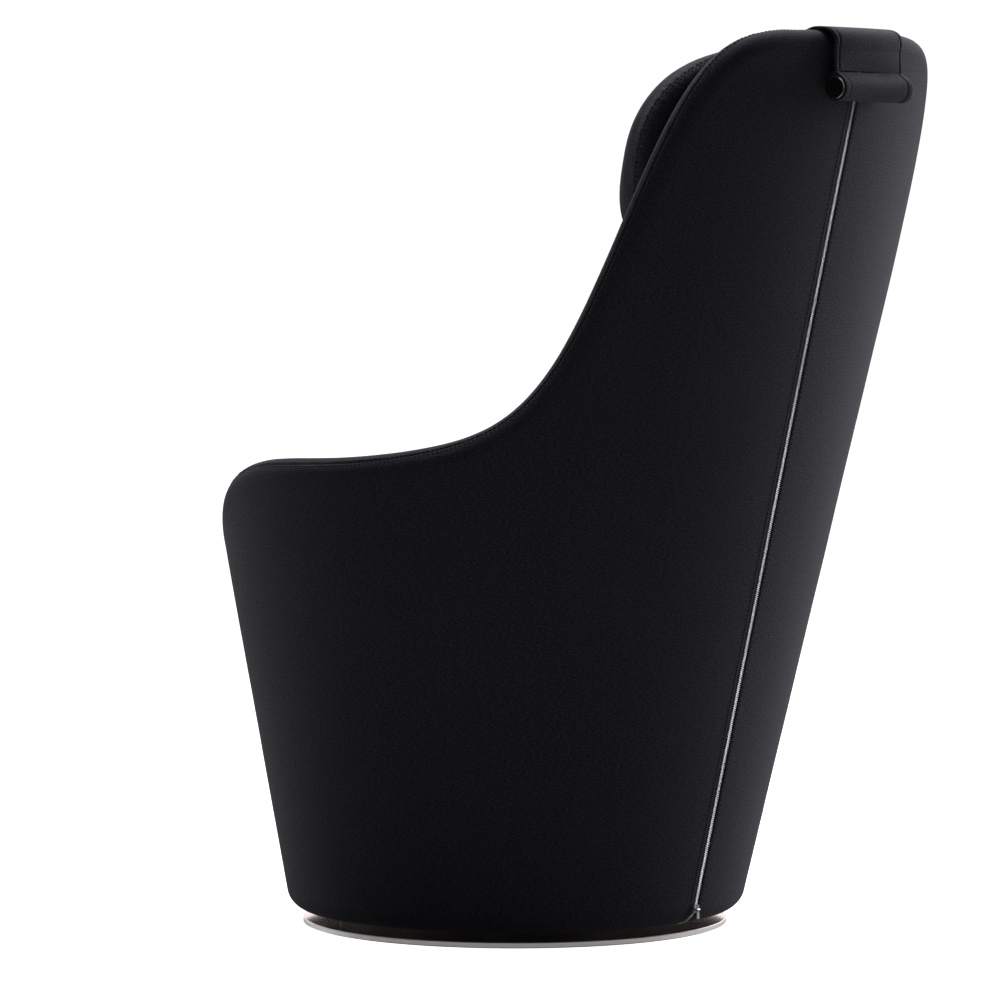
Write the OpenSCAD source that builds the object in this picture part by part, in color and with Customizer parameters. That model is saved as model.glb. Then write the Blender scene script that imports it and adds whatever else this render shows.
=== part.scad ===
// High back lounge chair: a round, cone-sided tub with a tall back, turning on a disc base.
// The front faces -Y, the sitter's left is +X and up is +Z. All sizes are in millimetres.
// The origin lies on the floor, on the swivel axis.

/* [Tub] */
// Outer radius of the tub's cone, carried down to the floor
shell_r0 = 251.6; // [245:0.2:258]
// How far the sides slope out for each millimetre of height
shell_flare = 0.2044; // [0.19:0.0002:0.22]
// How far the tub's centre line leans back for each millimetre of height
shell_lean = 0.038; // [0.03:0.002:0.046]
// Height of the tub's underside above the floor
body_z = 17; // [16:0.5:20]
// Radius of the tub's bottom edge
bottom_round = 20; // [17:0.5:22]

/* [Rim] */
// Height of the top edge of the back
back_h = 993; // [950:0.5:1030]
// Height of the top edge of the arms
arm_h = 540; // [525:1:570]
// Height that the rim falls to below the front lip
front_h = 351; // [340:1:360]
// Angle from the middle of the back where the rim is half way down to the arm
wing_angle = 37.5; // [35:0.1:40]
// How sharply the rim falls there
wing_sharp = 6.14; // [5.5:0.01:7]
// Angle from the middle of the back where the rim is half way down to the front
arm_angle = 141.5; // [138:0.5:144]
// How sharply the rim falls there
arm_sharp = 10.8; // [9.5:0.1:11.5]
// How far the top edge of the arms dips towards the back
arm_dip = 4.8; // [0:0.2:8]
// Angle from the middle of the back where it dips most
dip_angle = 87; // [80:1:95]
// Thickness of the wall at the seat
wall_low = 54; // [53:0.5:60]
// Thickness of the wall at the top of the back
wall_top = 43; // [42:0.5:50]
// Angle down the outside of the rolled rim where the two covers are sewn together
seam_angle = 30; // [25:1:40]

/* [Cloth and foam] */
// Thickness of the upholstery cloth
cover_t = 1.6; // [1.2:0.1:1.8]
// Room between the cloth and the foam under it
soft_gap = 0.7; // [0.6:0.1:0.9]
// Thickness of the foam round the lower tub, below the seat
pad_t = 24; // [23:0.5:25]

/* [Frame] */
// Radius of the steel tubes that stand in the wall
post_r = 9; // [7:0.5:9.5]
// Thickness of the tube walls
tube_t = 1.5; // [1:0.1:2]
// Depth of the posts behind the tub's outer face, at the bottom
post_off = 36.5; // [36:0.5:38]
// Radius of the base ring's tube
base_tube_r = 10; // [8:0.5:10]
// Angle of the back posts from the middle of the back
back_post_angle = 15; // [12:0.5:17]
// Angle of the rear arm posts
rear_arm_angle = 72; // [70:1:76]
// Angle of the front arm posts
front_arm_angle = 102; // [99:1:104]
// How far the hoop in the arms lies below the arms' top edge
arm_hoop_drop = 50; // [46:1:60]
// How far the hoop in the back lies below the back's top edge
back_hoop_drop = 68; // [58:1:110]
// Width of the two crossed rails
rail_w = 40; // [36:1:44]
// Height of the two crossed rails
rail_t = 14; // [10:1:18]

/* [Seat] */
// Height of the deck that the cushion lies on
deck_z = 318; // [312:1:322]
// Thickness of the seat board
board_t = 12; // [9:1:18]
// Thickness of the cloth on the deck
deck_cloth_t = 1.2; // [1:0.1:1.5]
// Height of the cushion's side
cushion_side = 88; // [70:1:100]
// Height of the crown above the cushion's side
cushion_crown = 24; // [12:1:32]
// Room between the cushion and the wall
cushion_gap = 3; // [2.5:0.5:6]
// Radius of the cushion's edges
cushion_round = 16; // [12:1:20]
// How far the cushion's side bulges out between its seams
cushion_bulge = 5; // [3:0.5:7]

/* [Headrest] */
// How far the headrest's middle lies below the back's top edge
head_drop = 136; // [129:1:143]
// Half of the headrest's width, measured round the curve
head_half_w = 219; // [190:1:230]
// Half of the headrest's height
head_half_h = 123; // [100:1:124]
// Thickness of the headrest at its middle
head_t = 98; // [80:1:105]
// How much thicker it is at its lower edge than at its middle, as a share
head_swell = 0.35; // [0:0.05:0.4]
// Room between the back and the headrest, which the strap runs through
head_gap = 5; // [5:0.1:6]
// How far the headrest slides down
head_down = 20; // [10:1:20]
// How far the headrest slides up
head_up = 50; // [20:1:50]

/* [Strap and counterweight] */
// Width of the strap
strap_w = 119.5; // [90:0.5:121]
// Thickness of the strap
strap_t = 3.5; // [2.5:0.1:3.8]
// Room between the strap and the cover under it
strap_gap = 0.8; // [0.6:0.1:0.9]
// How far the stiff strap stands off the back where it turns down
strap_stand = 6.8; // [5:0.1:7.5]
// Radius of the counterweight's rod
rod_r = 12; // [9:0.5:13]
// Length of the rod
rod_len = 125; // [124:0.5:130]
// Outer radius of the cloth sleeve round the rod
sleeve_r = 14.2; // [13.8:0.1:15]
// Height of the sleeve's sewn neck above the rod's axis
neck_h = 17.4; // [16.8:0.1:18.2]
// How far the rod's axis lies below the back's top edge
roll_drop = 61.3; // [60.5:0.1:90]
// Room between the sleeve and the back, which the zip's chain lies in
roll_gap = 2.7; // [2:0.1:3.2]
// Thickness of the black discs on the rod's ends
cap_t = 1.6; // [1:0.1:2]
// How far each disc's edge lies inside the rod's edge
cap_step = 0.7; // [0.3:0.1:1]
// Depth of the bright ring behind each disc, from its inner edge to its outer edge
cap_ring_w = 1; // [0.6:0.1:1.5]
// Width of the bright ring along the rod
cap_ring_len = 1.4; // [1:0.1:2]
// Room between the bright ring and the step in the rod that it sits on
ring_fit = 0.05; // [0.03:0.01:0.1]
// Room between the rod and the bore of its sleeve
sleeve_fit = 0.3; // [0.2:0.05:0.4]

/* [Zip] */
// Half of the slot between the two edges of the outer cover
slot_half = 5.5; // [5.2:0.1:6]
// Width of the chain of teeth
chain_w = 6; // [5:0.1:6.2]
// How far the teeth stand out from the cover
chain_out = 0.8; // [0.4:0.1:0.9]
// How deep the teeth reach behind the cover's face
chain_in = 1; // [0.6:0.1:1]
// Thickness of the zip's tapes
tape_t = 0.7; // [0.5:0.1:0.8]
// Length of the slider
slider_len = 9; // [8:0.5:10]
// Height of the slider's middle above the floor
slider_z = 35; // [33.5:0.5:48]
// How far the slider travels up the back
slider_travel = 680; // [300:10:680]
// Length of the pull below its pin
pull_len = 10; // [9:0.5:15]
// Width of the pull
pull_w = 4.2; // [4:0.2:6]

/* [Base] */
// Radius of the base plate
plate_r = 240; // [225:1:250]
// Thickness of the base plate
plate_t = 5.5; // [5:0.1:7]
// Chamfer of the base plate's upper edge
plate_edge = 0.8; // [0.4:0.1:1.5]
// Thickness of the pad under the plate
pad_plate_t = 1.2; // [0.8:0.1:1.4]
// How far the pad lies in from the plate's edge
pad_inset = 3.5; // [2:0.5:8]
// Radius of the spindle's flange
flange_r = 75; // [65:1:80]
// Thickness of the spindle's flange
flange_t = 5; // [4:0.5:6]
// Radius of the spindle's shoulder, which carries the chair
shoulder_r = 33; // [31:0.5:34]
// Radius of the spindle's journal
journal_r = 19; // [16:0.5:21]
// Thickness of the thrust bearing
bearing_t = 2.5; // [2:0.1:3]
// Running clearance of the swivel, on the radius
run_gap = 0.05; // [0.03:0.01:0.08]
// Radius of the countersunk base screws
base_screw_r = 4; // [3:0.5:5]
// Radius of the circle that the base screws lie on
base_screw_ring = 55; // [50:1:60]

/* [Hub] */
// Inner radius of the hub's tube
hub_in_r = 24; // [22:0.5:25]
// Outer radius of the hub's tube
hub_out_r = 30; // [28:0.5:31]
// Radius of the hub's flange
hub_flange_r = 80; // [76:1:90]
// Thickness of the hub's flange
hub_flange_t = 6; // [5:0.5:7]
// How far the hub's tube rises above the crossed rails
hub_rise = 5; // [3:0.5:10]
// Radius of the hub's bolts
hub_bolt_r = 4; // [3:0.5:5]
// Radius of the circle that the hub's bolts lie on
hub_bolt_ring = 60; // [54:1:66]
// Thickness of the bottom board
bottom_board_t = 8; // [6:0.5:9]
// Thickness of the dust cover
dust_t = 1.4; // [1:0.1:1.6]
// Radius of the hole in the bottom board and the dust cover
bottom_hole_r = 37; // [36:0.5:42]

/* [Hidden] */
$fn = 96;

// Flat faces that lie on each other stay this far apart
seat_fit = 0.1;
// Room round a tube in its channel in the foam
channel_gap = 0.6;
// Depth of the foam's face behind the outside of the cloth
foam_in = cover_t + soft_gap;

// Angles of the wall's columns, from the middle of the back round to the middle of the front
STATIONS = [0, 3.5, 7.5, 12, 17, 21, 24.5, 27.5, 30.5, 33.5, 37, 41, 46, 53, 61, 70, 80, 90, 100, 109,
    117, 125, 133, 141, 150, 160, 170, 180];
LAST = len(STATIONS) - 1;
// Stations where the back's foam ends and where the front's foam begins
BACK_END = 14;
FRONT_START = 24;

function shell_r(z) = shell_r0 + shell_flare * z;
function shell_y(z) = shell_lean * z;
function wall(z) = wall_low - (wall_low - wall_top) * min(1, max(0, (z - deck_z) / (back_h - deck_z)));
// A point at angle a from the middle of the back, at height z, off millimetres inside the tub
function spot(a, z, off) = [(shell_r(z) - off) * sin(a), shell_y(z) + (shell_r(z) - off) * cos(a), z];
// The same for a point at a distance x from the middle plane
function spot_x(x, z, off) = [x, shell_y(z) + sqrt(pow(shell_r(z) - off, 2) - x * x), z];
function back_y(z) = shell_y(z) + shell_r(z);

// The rim falls from the back to the arms, and from the arms to the front, where it runs level
front_fall = pow(180 / arm_angle, arm_sharp);
front_slope = (arm_h - front_h) * arm_sharp * front_fall / (180 * pow(1 + front_fall, 2));
lip_start = 150;
lip_rise = front_slope * (180 - lip_start) / 2;
function lip(a) = lip_rise * pow(max(0, a - lip_start) / (180 - lip_start), 2);
dip_spread = 18;
function rim_z(a) = front_h + lip(a) - arm_dip * exp(-pow((a - dip_angle) / dip_spread, 2))
    + (arm_h - front_h) / (1 + pow(a / arm_angle, arm_sharp))
    + (back_h - arm_h) / (1 + pow(a / wing_angle, wing_sharp));
slope_step = 0.2;
function rim_slope(a) = (rim_z(min(180, a + slope_step)) - rim_z(max(0, a - slope_step)))
    / (min(180, a + slope_step) - max(0, a - slope_step));

// The rolled rim is a half round about an axis that follows the rim inside the wall.
// Each entry is the axis's angle and height, the roll's radius, and the way from the axis to the
// rim's crest, in degrees and millimetres for each millimetre.
function rim_axis(a) =
    let (z = rim_z(a), w = wall(z) / 2, turn = (shell_r(z) - w) * PI / 180)
    let (slope = a == 0 || a == 180 ? 0 : rim_slope(a), run = sqrt(turn * turn + slope * slope))
    [a + w * slope / (run * turn), z - w * turn / run, w, -slope / (run * turn), turn / run];
// A point of the rolled rim, o millimetres inside its face, at angle t from its crest
function rim_point(a, o, t) =
    let (x = rim_axis(a), u = (x[2] - o) * cos(t))
    spot(x[0] + u * x[3], x[1] + u * x[4], x[2] + (x[2] - o) * sin(t));

low_z = body_z + bottom_round;
// Where the zip ends
zip_margin = 8;
zip_top = back_h - wall_top / 2 - zip_margin;
// How far the outer cover turns in under the tub
turn_in = 55;

// The outer cover's outline at one station, o millimetres inside its face
function outer_outline(a, o) =
    let (x = rim_axis(a), c = x[0], r = bottom_round)
    concat(
        [spot(c, body_z + o, turn_in), spot(c, body_z + o, r)],
        [for (t = [60, 30, 0]) spot(c, low_z - (r - o) * sin(t), r - (r - o) * cos(t))],
        [spot(c, x[1] - zip_margin, o)],
        [for (t = [-90, -60, -seam_angle - 1]) rim_point(a, o, t)]);
// The same along the zip, where the two edges stand apart
function zip_outline(side, o) =
    let (line = outer_outline(0, o), closed = soft_gap / 2)
    [for (k = [0:len(line) - 1]) let (p = line[k], half = k >= 1 && k <= 5 ? slot_half : closed)
        let (reach = p[1] - shell_y(p[2]))
        [side * half, shell_y(p[2]) + sqrt(reach * reach - half * half), p[2]]];
function mirrored(line) = [for (p = line) [-p[0], p[1], p[2]]];
function outer_face(o) = concat(
    [zip_outline(1, o)],
    [for (i = [1:LAST]) outer_outline(STATIONS[i], o)],
    [for (i = [LAST - 1:-1:1]) mirrored(outer_outline(STATIONS[i], o))],
    [zip_outline(-1, o)]);

// The inner cover's outline: from the deck up and over the rim
function inner_outline(a, o) =
    let (x = rim_axis(a), c = x[0], low = deck_z + soft_gap)
    concat(
        [spot(c, low, wall(low) - o)],
        [for (t = [90, 60, 30, 0, -seam_angle + 1]) rim_point(a, o, t)]);
function inner_face(o) = concat(
    [for (i = [LAST:-1:1]) mirrored(inner_outline(STATIONS[i], o))],
    [for (i = [0:LAST - 1]) inner_outline(STATIONS[i], o)]);

// The foam's outer and inner outlines, which meet at the crest. The inner one steps in at the deck.
function foam_outer(a) =
    let (x = rim_axis(a), c = x[0], r = bottom_round, o = foam_in)
    concat(
        [spot(c, body_z + o, r)],
        [for (t = [60, 30, 0]) spot(c, low_z - (r - o) * sin(t), r - (r - o) * cos(t))],
        [spot(c, deck_z - 2, o), spot(c, deck_z + 2, o)],
        [for (t = [-90, -60, -30, -3]) rim_point(a, o, t)]);
function foam_inner(a) =
    let (x = rim_axis(a), c = x[0], o = foam_in)
    concat(
        [spot(c, body_z + o, pad_t)],
        [for (t = [0.3, 0.6, 1]) spot(c, body_z + o + (bottom_round - o) * t, pad_t)],
        [spot(c, deck_z, pad_t), spot(c, deck_z, wall(deck_z) - o)],
        [for (t = [90, 60, 30, 3]) rim_point(a, o, t)]);

// A closed skin between two like grids of points, given column by column.
// A ring's last column joins its first; a strip's end columns are closed across the skin.
module skin(outer, inner, ring = false) {
    n = len(outer);
    m = len(outer[0]);
    b = n * m;
    last = ring ? n - 1 : n - 2;
    e = (n - 1) * m;
    sides = [for (i = [0:last], k = [0:m - 2]) let (p = i * m + k, q = (i + 1) % n * m + k)
        each [[p, q + 1, p + 1], [p, q, q + 1], [b + p, b + p + 1, b + q + 1], [b + p, b + q + 1, b + q]]];
    edges = [for (i = [0:last]) let (p = i * m, q = (i + 1) % n * m, d = m - 1)
        each [[p, b + q, q], [p, b + p, b + q], [p + d, q + d, b + q + d], [p + d, b + q + d, b + p + d]]];
    ends = ring ? [] : [for (k = [0:m - 2])
        each [[k + 1, b + k, k], [k + 1, b + k + 1, b + k],
            [e + k, b + e + k, e + k + 1], [e + k + 1, b + e + k, b + e + k + 1]]];
    polyhedron(concat([for (c = outer) each c], [for (c = inner) each c]), concat(sides, edges, ends));
}

// A closed solid through a list of rings of points, with a point beyond each end
module stack(rings, first, last) {
    n = len(rings[0]);
    m = len(rings);
    f = n * m;
    sides = [for (j = [0:m - 2], i = [0:n - 1]) let (p = j * n + i, q = j * n + (i + 1) % n)
        each [[p, q, q + n], [p, q + n, p + n]]];
    caps = [for (i = [0:n - 1]) let (k = (i + 1) % n, t = (m - 1) * n)
        each [[f, k, i], [f + 1, t + i, t + k]]];
    polyhedron(concat([for (r = rings) each r], [first, last]), concat(sides, caps));
}

// A bowl between two like lists of rings, each with a point beyond its last ring
module bowl(outer, outer_tip, inner, inner_tip) {
    n = len(outer[0]);
    m = len(outer);
    b = n * m;
    f = 2 * b;
    t = (m - 1) * n;
    sides = [for (j = [0:m - 2], i = [0:n - 1]) let (p = j * n + i, q = j * n + (i + 1) % n)
        each [[p, q, q + n], [p, q + n, p + n], [b + p, b + q + n, b + q], [b + p, b + p + n, b + q + n]]];
    caps = [for (i = [0:n - 1]) let (k = (i + 1) % n)
        each [[f, t + i, t + k], [f + 1, b + t + k, b + t + i], [i, b + i, k], [k, b + i, b + k]]];
    polyhedron(concat([for (r = outer) each r], [for (r = inner) each r], [outer_tip, inner_tip]),
        concat(sides, caps));
}

// A round bar from p to q
module bar(p, q, r) {
    d = q - p;
    translate(p) rotate([0, acos(d[2] / norm(d)), atan2(d[1], d[0])]) cylinder(h = norm(d), r = r);
}
module tube(p, q, r) {
    d = q - p;
    translate(p) rotate([0, acos(d[2] / norm(d)), atan2(d[1], d[0])])
        difference() {
            cylinder(h = norm(d), r = r);
            translate([0, 0, -1]) cylinder(h = norm(d) + 2, r = r - tube_t);
        }
}

// Heights of the swivel, from the floor up
plate_z = pad_plate_t;
plate_top = plate_z + plate_t;
flange_top = plate_top + flange_t;
bearing_z = flange_top + 4;
hub_z = bearing_z + bearing_t + run_gap;
board_z = body_z + cover_t + seat_fit * 2;
ring_z = board_z + bottom_board_t + seat_fit + base_tube_r;
rail_z = ring_z + base_tube_r + seat_fit;
rail_top = rail_z + rail_t;
hub_top = rail_top + hub_rise;
base_ring_r = shell_r(ring_z) - post_off;

module floor_pad() {
    color("black") cylinder(h = pad_plate_t, r = plate_r - pad_inset);
}

screw_head = base_screw_r * 1.9;
module base_plate() {
    color("dimgray")
        difference() {
            rotate_extrude()
                polygon([[0, plate_z], [plate_r, plate_z], [plate_r, plate_top - plate_edge],
                    [plate_r - plate_edge, plate_top], [0, plate_top]]);
            for (a = [45:90:315]) rotate(a) translate([base_screw_ring, 0, plate_z - 1]) {
                cylinder(h = plate_t + 2, r = base_screw_r + 0.3);
                cylinder(h = 3.4, r = screw_head + 0.3);
            }
        }
}

module base_screws() {
    color("silver")
        for (a = [45:90:315]) rotate(a) translate([base_screw_ring, 0, 0]) {
            translate([0, 0, plate_z + seat_fit]) cylinder(h = 2.3 - seat_fit, r = screw_head);
            translate([0, 0, plate_z + 2]) cylinder(h = flange_top - plate_z - 2, r = base_screw_r);
        }
}

retaining_r = 6;
screw_depth = 26;
module spindle() {
    color("silver")
        difference() {
            union() {
                translate([0, 0, plate_top]) cylinder(h = flange_t, r = flange_r);
                translate([0, 0, plate_top]) cylinder(h = bearing_z - plate_top, r = shoulder_r);
                translate([0, 0, plate_top]) cylinder(h = hub_top + 0.3 - plate_top, r = journal_r);
            }
            for (a = [45:90:315]) rotate(a) translate([base_screw_ring, 0, plate_top - 1])
                cylinder(h = flange_t + 2, r = base_screw_r + run_gap);
            translate([0, 0, hub_top + 0.3 - screw_depth]) cylinder(h = screw_depth + 1, r = retaining_r + run_gap);
        }
}

module disc_ring(z, h, outer_r, inner_r) {
    translate([0, 0, z])
        difference() {
            cylinder(h = h, r = outer_r);
            translate([0, 0, -1]) cylinder(h = h + 2, r = inner_r);
        }
}

module thrust_bearing() {
    color("ivory") disc_ring(bearing_z, bearing_t, shoulder_r, journal_r + run_gap);
}

washer_t = 3;
module retaining_washer() {
    color("silver") disc_ring(hub_top + 0.3, washer_t, hub_out_r - 1, retaining_r + 0.2);
}

module retaining_screw() {
    z = hub_top + 0.3 + washer_t;
    color("silver") {
        translate([0, 0, z]) cylinder(h = 7, r = retaining_r * 1.7, $fn = 6);
        translate([0, 0, z - screw_depth]) cylinder(h = screw_depth, r = retaining_r);
    }
}

module hub_bolt_places() {
    for (a = [0:90:270]) rotate(a) translate([hub_bolt_ring, 0, 0]) children();
}

flange_z = rail_z - hub_flange_t;
module swivel_hub() {
    color("silver")
        difference() {
            union() {
                translate([0, 0, hub_z]) cylinder(h = hub_top - hub_z, r = hub_out_r);
                translate([0, 0, flange_z]) cylinder(h = hub_flange_t, r = hub_flange_r);
            }
            translate([0, 0, hub_z - 1]) cylinder(h = hub_top - hub_z + 2, r = hub_in_r);
            hub_bolt_places() translate([0, 0, flange_z - 1])
                cylinder(h = hub_flange_t + 2, r = hub_bolt_r + run_gap);
        }
}

module hub_bush() {
    color("ivory") disc_ring(hub_z, hub_top - hub_z, hub_in_r - 0.02, journal_r + run_gap);
}

module hub_bolts() {
    color("silver")
        hub_bolt_places() {
            translate([0, 0, rail_top + seat_fit]) cylinder(h = hub_bolt_r * 1.4, r = hub_bolt_r * 1.7, $fn = 6);
            translate([0, 0, flange_z]) cylinder(h = rail_top + seat_fit - flange_z, r = hub_bolt_r);
        }
}

rail_reach = base_ring_r + 3;
module cross_rails() {
    color("dimgray")
        difference() {
            for (a = [0, 90]) rotate(a) translate([-rail_reach, -rail_w / 2, rail_z])
                cube([2 * rail_reach, rail_w, rail_t]);
            translate([0, 0, rail_z - 1]) cylinder(h = rail_t + 2, r = hub_out_r + 0.5);
            hub_bolt_places() translate([0, 0, rail_z - 1]) cylinder(h = rail_t + 2, r = hub_bolt_r + 0.4);
        }
}

// A hoop of tube at height z, between two angles from the middle of the back
module hoop(z, r, tube_r, from, to) {
    translate([0, shell_y(z), z]) rotate(90 - to) rotate_extrude(angle = to - from)
        translate([r, 0]) difference() {
            circle(r = tube_r);
            circle(r = tube_r - tube_t);
        }
}

module base_ring() {
    color("dimgray") hoop(ring_z, base_ring_r, base_tube_r, -180, 180);
}

module bottom_board() {
    color("tan") translate([0, shell_y(board_z), 0])
        difference() {
            translate([0, 0, board_z]) cylinder(h = bottom_board_t, r = shell_r(board_z) - pad_t - 2);
            translate([0, -shell_y(board_z), board_z - 1]) cylinder(h = bottom_board_t + 2, r = bottom_hole_r);
        }
}

module dust_cover() {
    color("black") translate([0, shell_y(body_z), 0])
        difference() {
            translate([0, 0, board_z - seat_fit - dust_t]) cylinder(h = dust_t, r = shell_r(body_z) - turn_in - 2);
            translate([0, -shell_y(body_z), 0]) cylinder(h = board_z, r = bottom_hole_r);
        }
}

// Both ends of a post's centre line: on the base ring, and in the middle of the wall under its hoop
post_foot_z = rail_z + post_r * 0.25;
function post_line(a, top) = [spot(a, post_foot_z, post_off), spot(a, top - post_r - 2.4, wall(top) / 2)];
module post(a, top) {
    line = post_line(a, top);
    color("dimgray") tube(line[0], line[1], post_r);
}
module post_channel(a, top) {
    line = post_line(a, top);
    bar(line[0], line[1], (post_r + channel_gap) / cos(18), $fn = 10);
}
// The hoops' centre line lies in the middle of the wall
function hoop_r(z) = shell_r(z) - wall(z) / 2;
module hoop_channel(z, from, to) {
    side = 2 * (post_r + channel_gap);
    translate([0, shell_y(z), z]) rotate(90 - to - 1) rotate_extrude(angle = to - from + 2)
        translate([hoop_r(z), 0]) square(side, center = true);
}
back_hoop_end = back_post_angle + 3;
arm_hoop_z = arm_h - arm_hoop_drop;
back_hoop_z = back_h - back_hoop_drop;
arm_hoop_start = rear_arm_angle - 4;
arm_hoop_end = front_arm_angle + 3;
module back_hoop() {
    color("dimgray") hoop(back_hoop_z, hoop_r(back_hoop_z), post_r, -back_hoop_end, back_hoop_end);
}
module arm_hoop_left() {
    color("dimgray") hoop(arm_hoop_z, hoop_r(arm_hoop_z), post_r, arm_hoop_start, arm_hoop_end);
}

// The seat ring passes just inside the posts and carries the board
seat_ring_z = deck_z - seat_fit * 4 - board_t - post_r;
module seat_ring() {
    r = shell_r(seat_ring_z) - post_off - 2 * post_r - 0.9;
    color("dimgray") hoop(seat_ring_z, r, post_r, -180, 180);
}
module seat_board() {
    z = seat_ring_z + post_r + seat_fit;
    r = shell_r(z) - post_off - post_r - 2;
    color("burlywood") translate([0, shell_y(z), z]) cylinder(h = board_t, r = r);
}
module deck_cloth() {
    r = shell_r(deck_z) - wall_low - 2.2;
    color("black") translate([0, shell_y(deck_z), deck_z]) cylinder(h = deck_cloth_t, r = r);
}

// The stretch of foam between two stations, with channels for the frame
module foam_sector(angles) {
    color("khaki")
        difference() {
            skin([for (a = angles) a < 0 ? mirrored(foam_outer(-a)) : foam_outer(a)],
                [for (a = angles) a < 0 ? mirrored(foam_inner(-a)) : foam_inner(a)]);
            children();
        }
}
function stations(first, last) = [for (i = [first:last]) STATIONS[i]];
module foam_back() {
    angles = concat([for (i = [BACK_END:-1:1]) -STATIONS[i]], stations(0, BACK_END));
    foam_sector(angles) {
        for (side = [-1, 1]) post_channel(side * back_post_angle, back_hoop_z);
        hoop_channel(back_hoop_z, -back_hoop_end, back_hoop_end);
    }
}
module foam_side(side) {
    angles = stations(BACK_END, FRONT_START);
    foam_sector(side > 0 ? angles : [for (i = [len(angles) - 1:-1:0]) -angles[i]]) {
        post_channel(side * rear_arm_angle, arm_hoop_z);
        post_channel(side * front_arm_angle, arm_hoop_z);
        hoop_channel(arm_hoop_z, side > 0 ? arm_hoop_start : -arm_hoop_end, side > 0 ? arm_hoop_end : -arm_hoop_start);
    }
}
module foam_front() {
    foam_sector(concat(stations(FRONT_START, LAST), [for (i = [LAST - 1:-1:FRONT_START]) -STATIONS[i]]));
}

module outer_cover() {
    color([0.1, 0.1, 0.12]) skin(outer_face(0), outer_face(cover_t));
}
module inner_cover() {
    color([0.12, 0.12, 0.14]) skin(inner_face(cover_t), inner_face(0), ring = true);
}

// The seat cushion: half of its outline, o millimetres inside its face
cushion_z = deck_z + deck_cloth_t + 0.3;
cushion_mid = deck_z + wall_low;
function cushion_r(z) = shell_r(z) - wall(z) - cushion_gap - cushion_bulge - shell_lean * abs(z - cushion_mid);
cushion_top = cushion_z + cushion_side;
function cushion_outline(o) =
    let (r = cushion_round, low = cushion_r(cushion_z), high = cushion_r(cushion_top))
    concat(
        [[0, cushion_z + o], [low - r, cushion_z + o]],
        [for (t = [30:30:90]) [low - r + (r - o) * sin(t), cushion_z + r - (r - o) * cos(t)]],
        [for (t = [0.25, 0.5, 0.75]) [low + (high - low) * t + cushion_bulge * sin(180 * t) - o,
            cushion_z + r + (cushion_side - 2 * r) * t]],
        [for (t = [90:-30:30]) [high - r + (r - o) * sin(t), cushion_top - r + (r - o) * cos(t)]],
        [for (t = [0.88:-0.22:0]) [(high - r) * t, cushion_top - o + cushion_crown * (1 - pow(t, 2.2))]],
        [[0, cushion_top - o + cushion_crown]]);
module at_cushion() {
    translate([0, shell_y(cushion_mid), 0]) children();
}
base_cloth_r = cushion_r(cushion_z) - cushion_round - 2;
module seat_cushion_foam() {
    color("khaki") at_cushion()
        difference() {
            rotate_extrude() polygon(cushion_outline(foam_in));
            translate([0, 0, cushion_z - 1]) cylinder(h = 1 + cover_t + seat_fit, r = shell_r(cushion_z));
        }
}
module seat_cushion_cover() {
    color([0.12, 0.12, 0.14]) at_cushion()
        difference() {
            rotate_extrude() polygon(cushion_outline(0));
            rotate_extrude() polygon(cushion_outline(cover_t));
            translate([0, 0, cushion_z - 1]) cylinder(h = 1 + cover_t, r = base_cloth_r + seat_fit);
        }
}
module seat_cushion_base_cloth() {
    color("black") at_cushion() translate([0, 0, cushion_z])
        cylinder(h = cover_t, r = base_cloth_r);
}

// The headrest's skin: rings from the middle of its rear face, over its edge, to the middle of its front.
// Each ring has a share of the outline's size and a depth from the rear face.
HEAD_RINGS = [[0.5, 0], [0.88, 0], [0.97, 0.06], [1, 0.2], [1, 0.38], [0.985, 0.61], [0.94, 0.8], [0.82, 0.93],
    [0.58, 0.98], [0.28, 0.995]];
// The ring where the front panel is sewn to the side band
HEAD_SEAM = 4;
HEAD_SIDES = 32;
// Power of the rounded oblong that the headrest's outline follows
head_square = 2.8;
head_z = back_h - head_drop;
function head_share(t) = 1 / pow(pow(abs(cos(t)), head_square) + pow(abs(sin(t)), head_square), 1 / head_square);
function head_thick(z) = 1 + head_swell * (head_z - z) / head_half_h;
head_mid_r = shell_r(head_z) - wall(head_z) - head_gap;
function head_point(t, share, depth, o) =
    let (s = share * head_share(t), z = head_z + s * (head_half_h - o) * sin(t))
    let (a = s * (head_half_w - o) * cos(t) / head_mid_r * 180 / PI)
    spot(a, z, wall(z) + head_gap + o + depth * (head_t * head_thick(z) - 2 * o));
// Rings run clockwise seen from behind, or the other way for turn = -1
function head_ring(j, o, turn = 1) = [for (i = [0:HEAD_SIDES - 1])
    head_point(turn * i * 360 / HEAD_SIDES, HEAD_RINGS[j][0], HEAD_RINGS[j][1], o)];
function head_tip(depth, o) = spot(0, head_z, wall(head_z) + head_gap + o + depth * (head_t - 2 * o));
HEAD_LAST = len(HEAD_RINGS) - 1;
module headrest_foam() {
    o = cover_t + 0.3;
    color("khaki") stack([for (j = [0:HEAD_LAST]) head_ring(j, o, -1)], head_tip(0, o), head_tip(1, o));
}
module headrest_front_cover() {
    color([0.12, 0.12, 0.14])
        bowl([for (j = [HEAD_SEAM:HEAD_LAST]) head_ring(j, 0, -1)], head_tip(1, 0),
            [for (j = [HEAD_SEAM:HEAD_LAST]) head_ring(j, cover_t, -1)], head_tip(1, cover_t));
}
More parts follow.
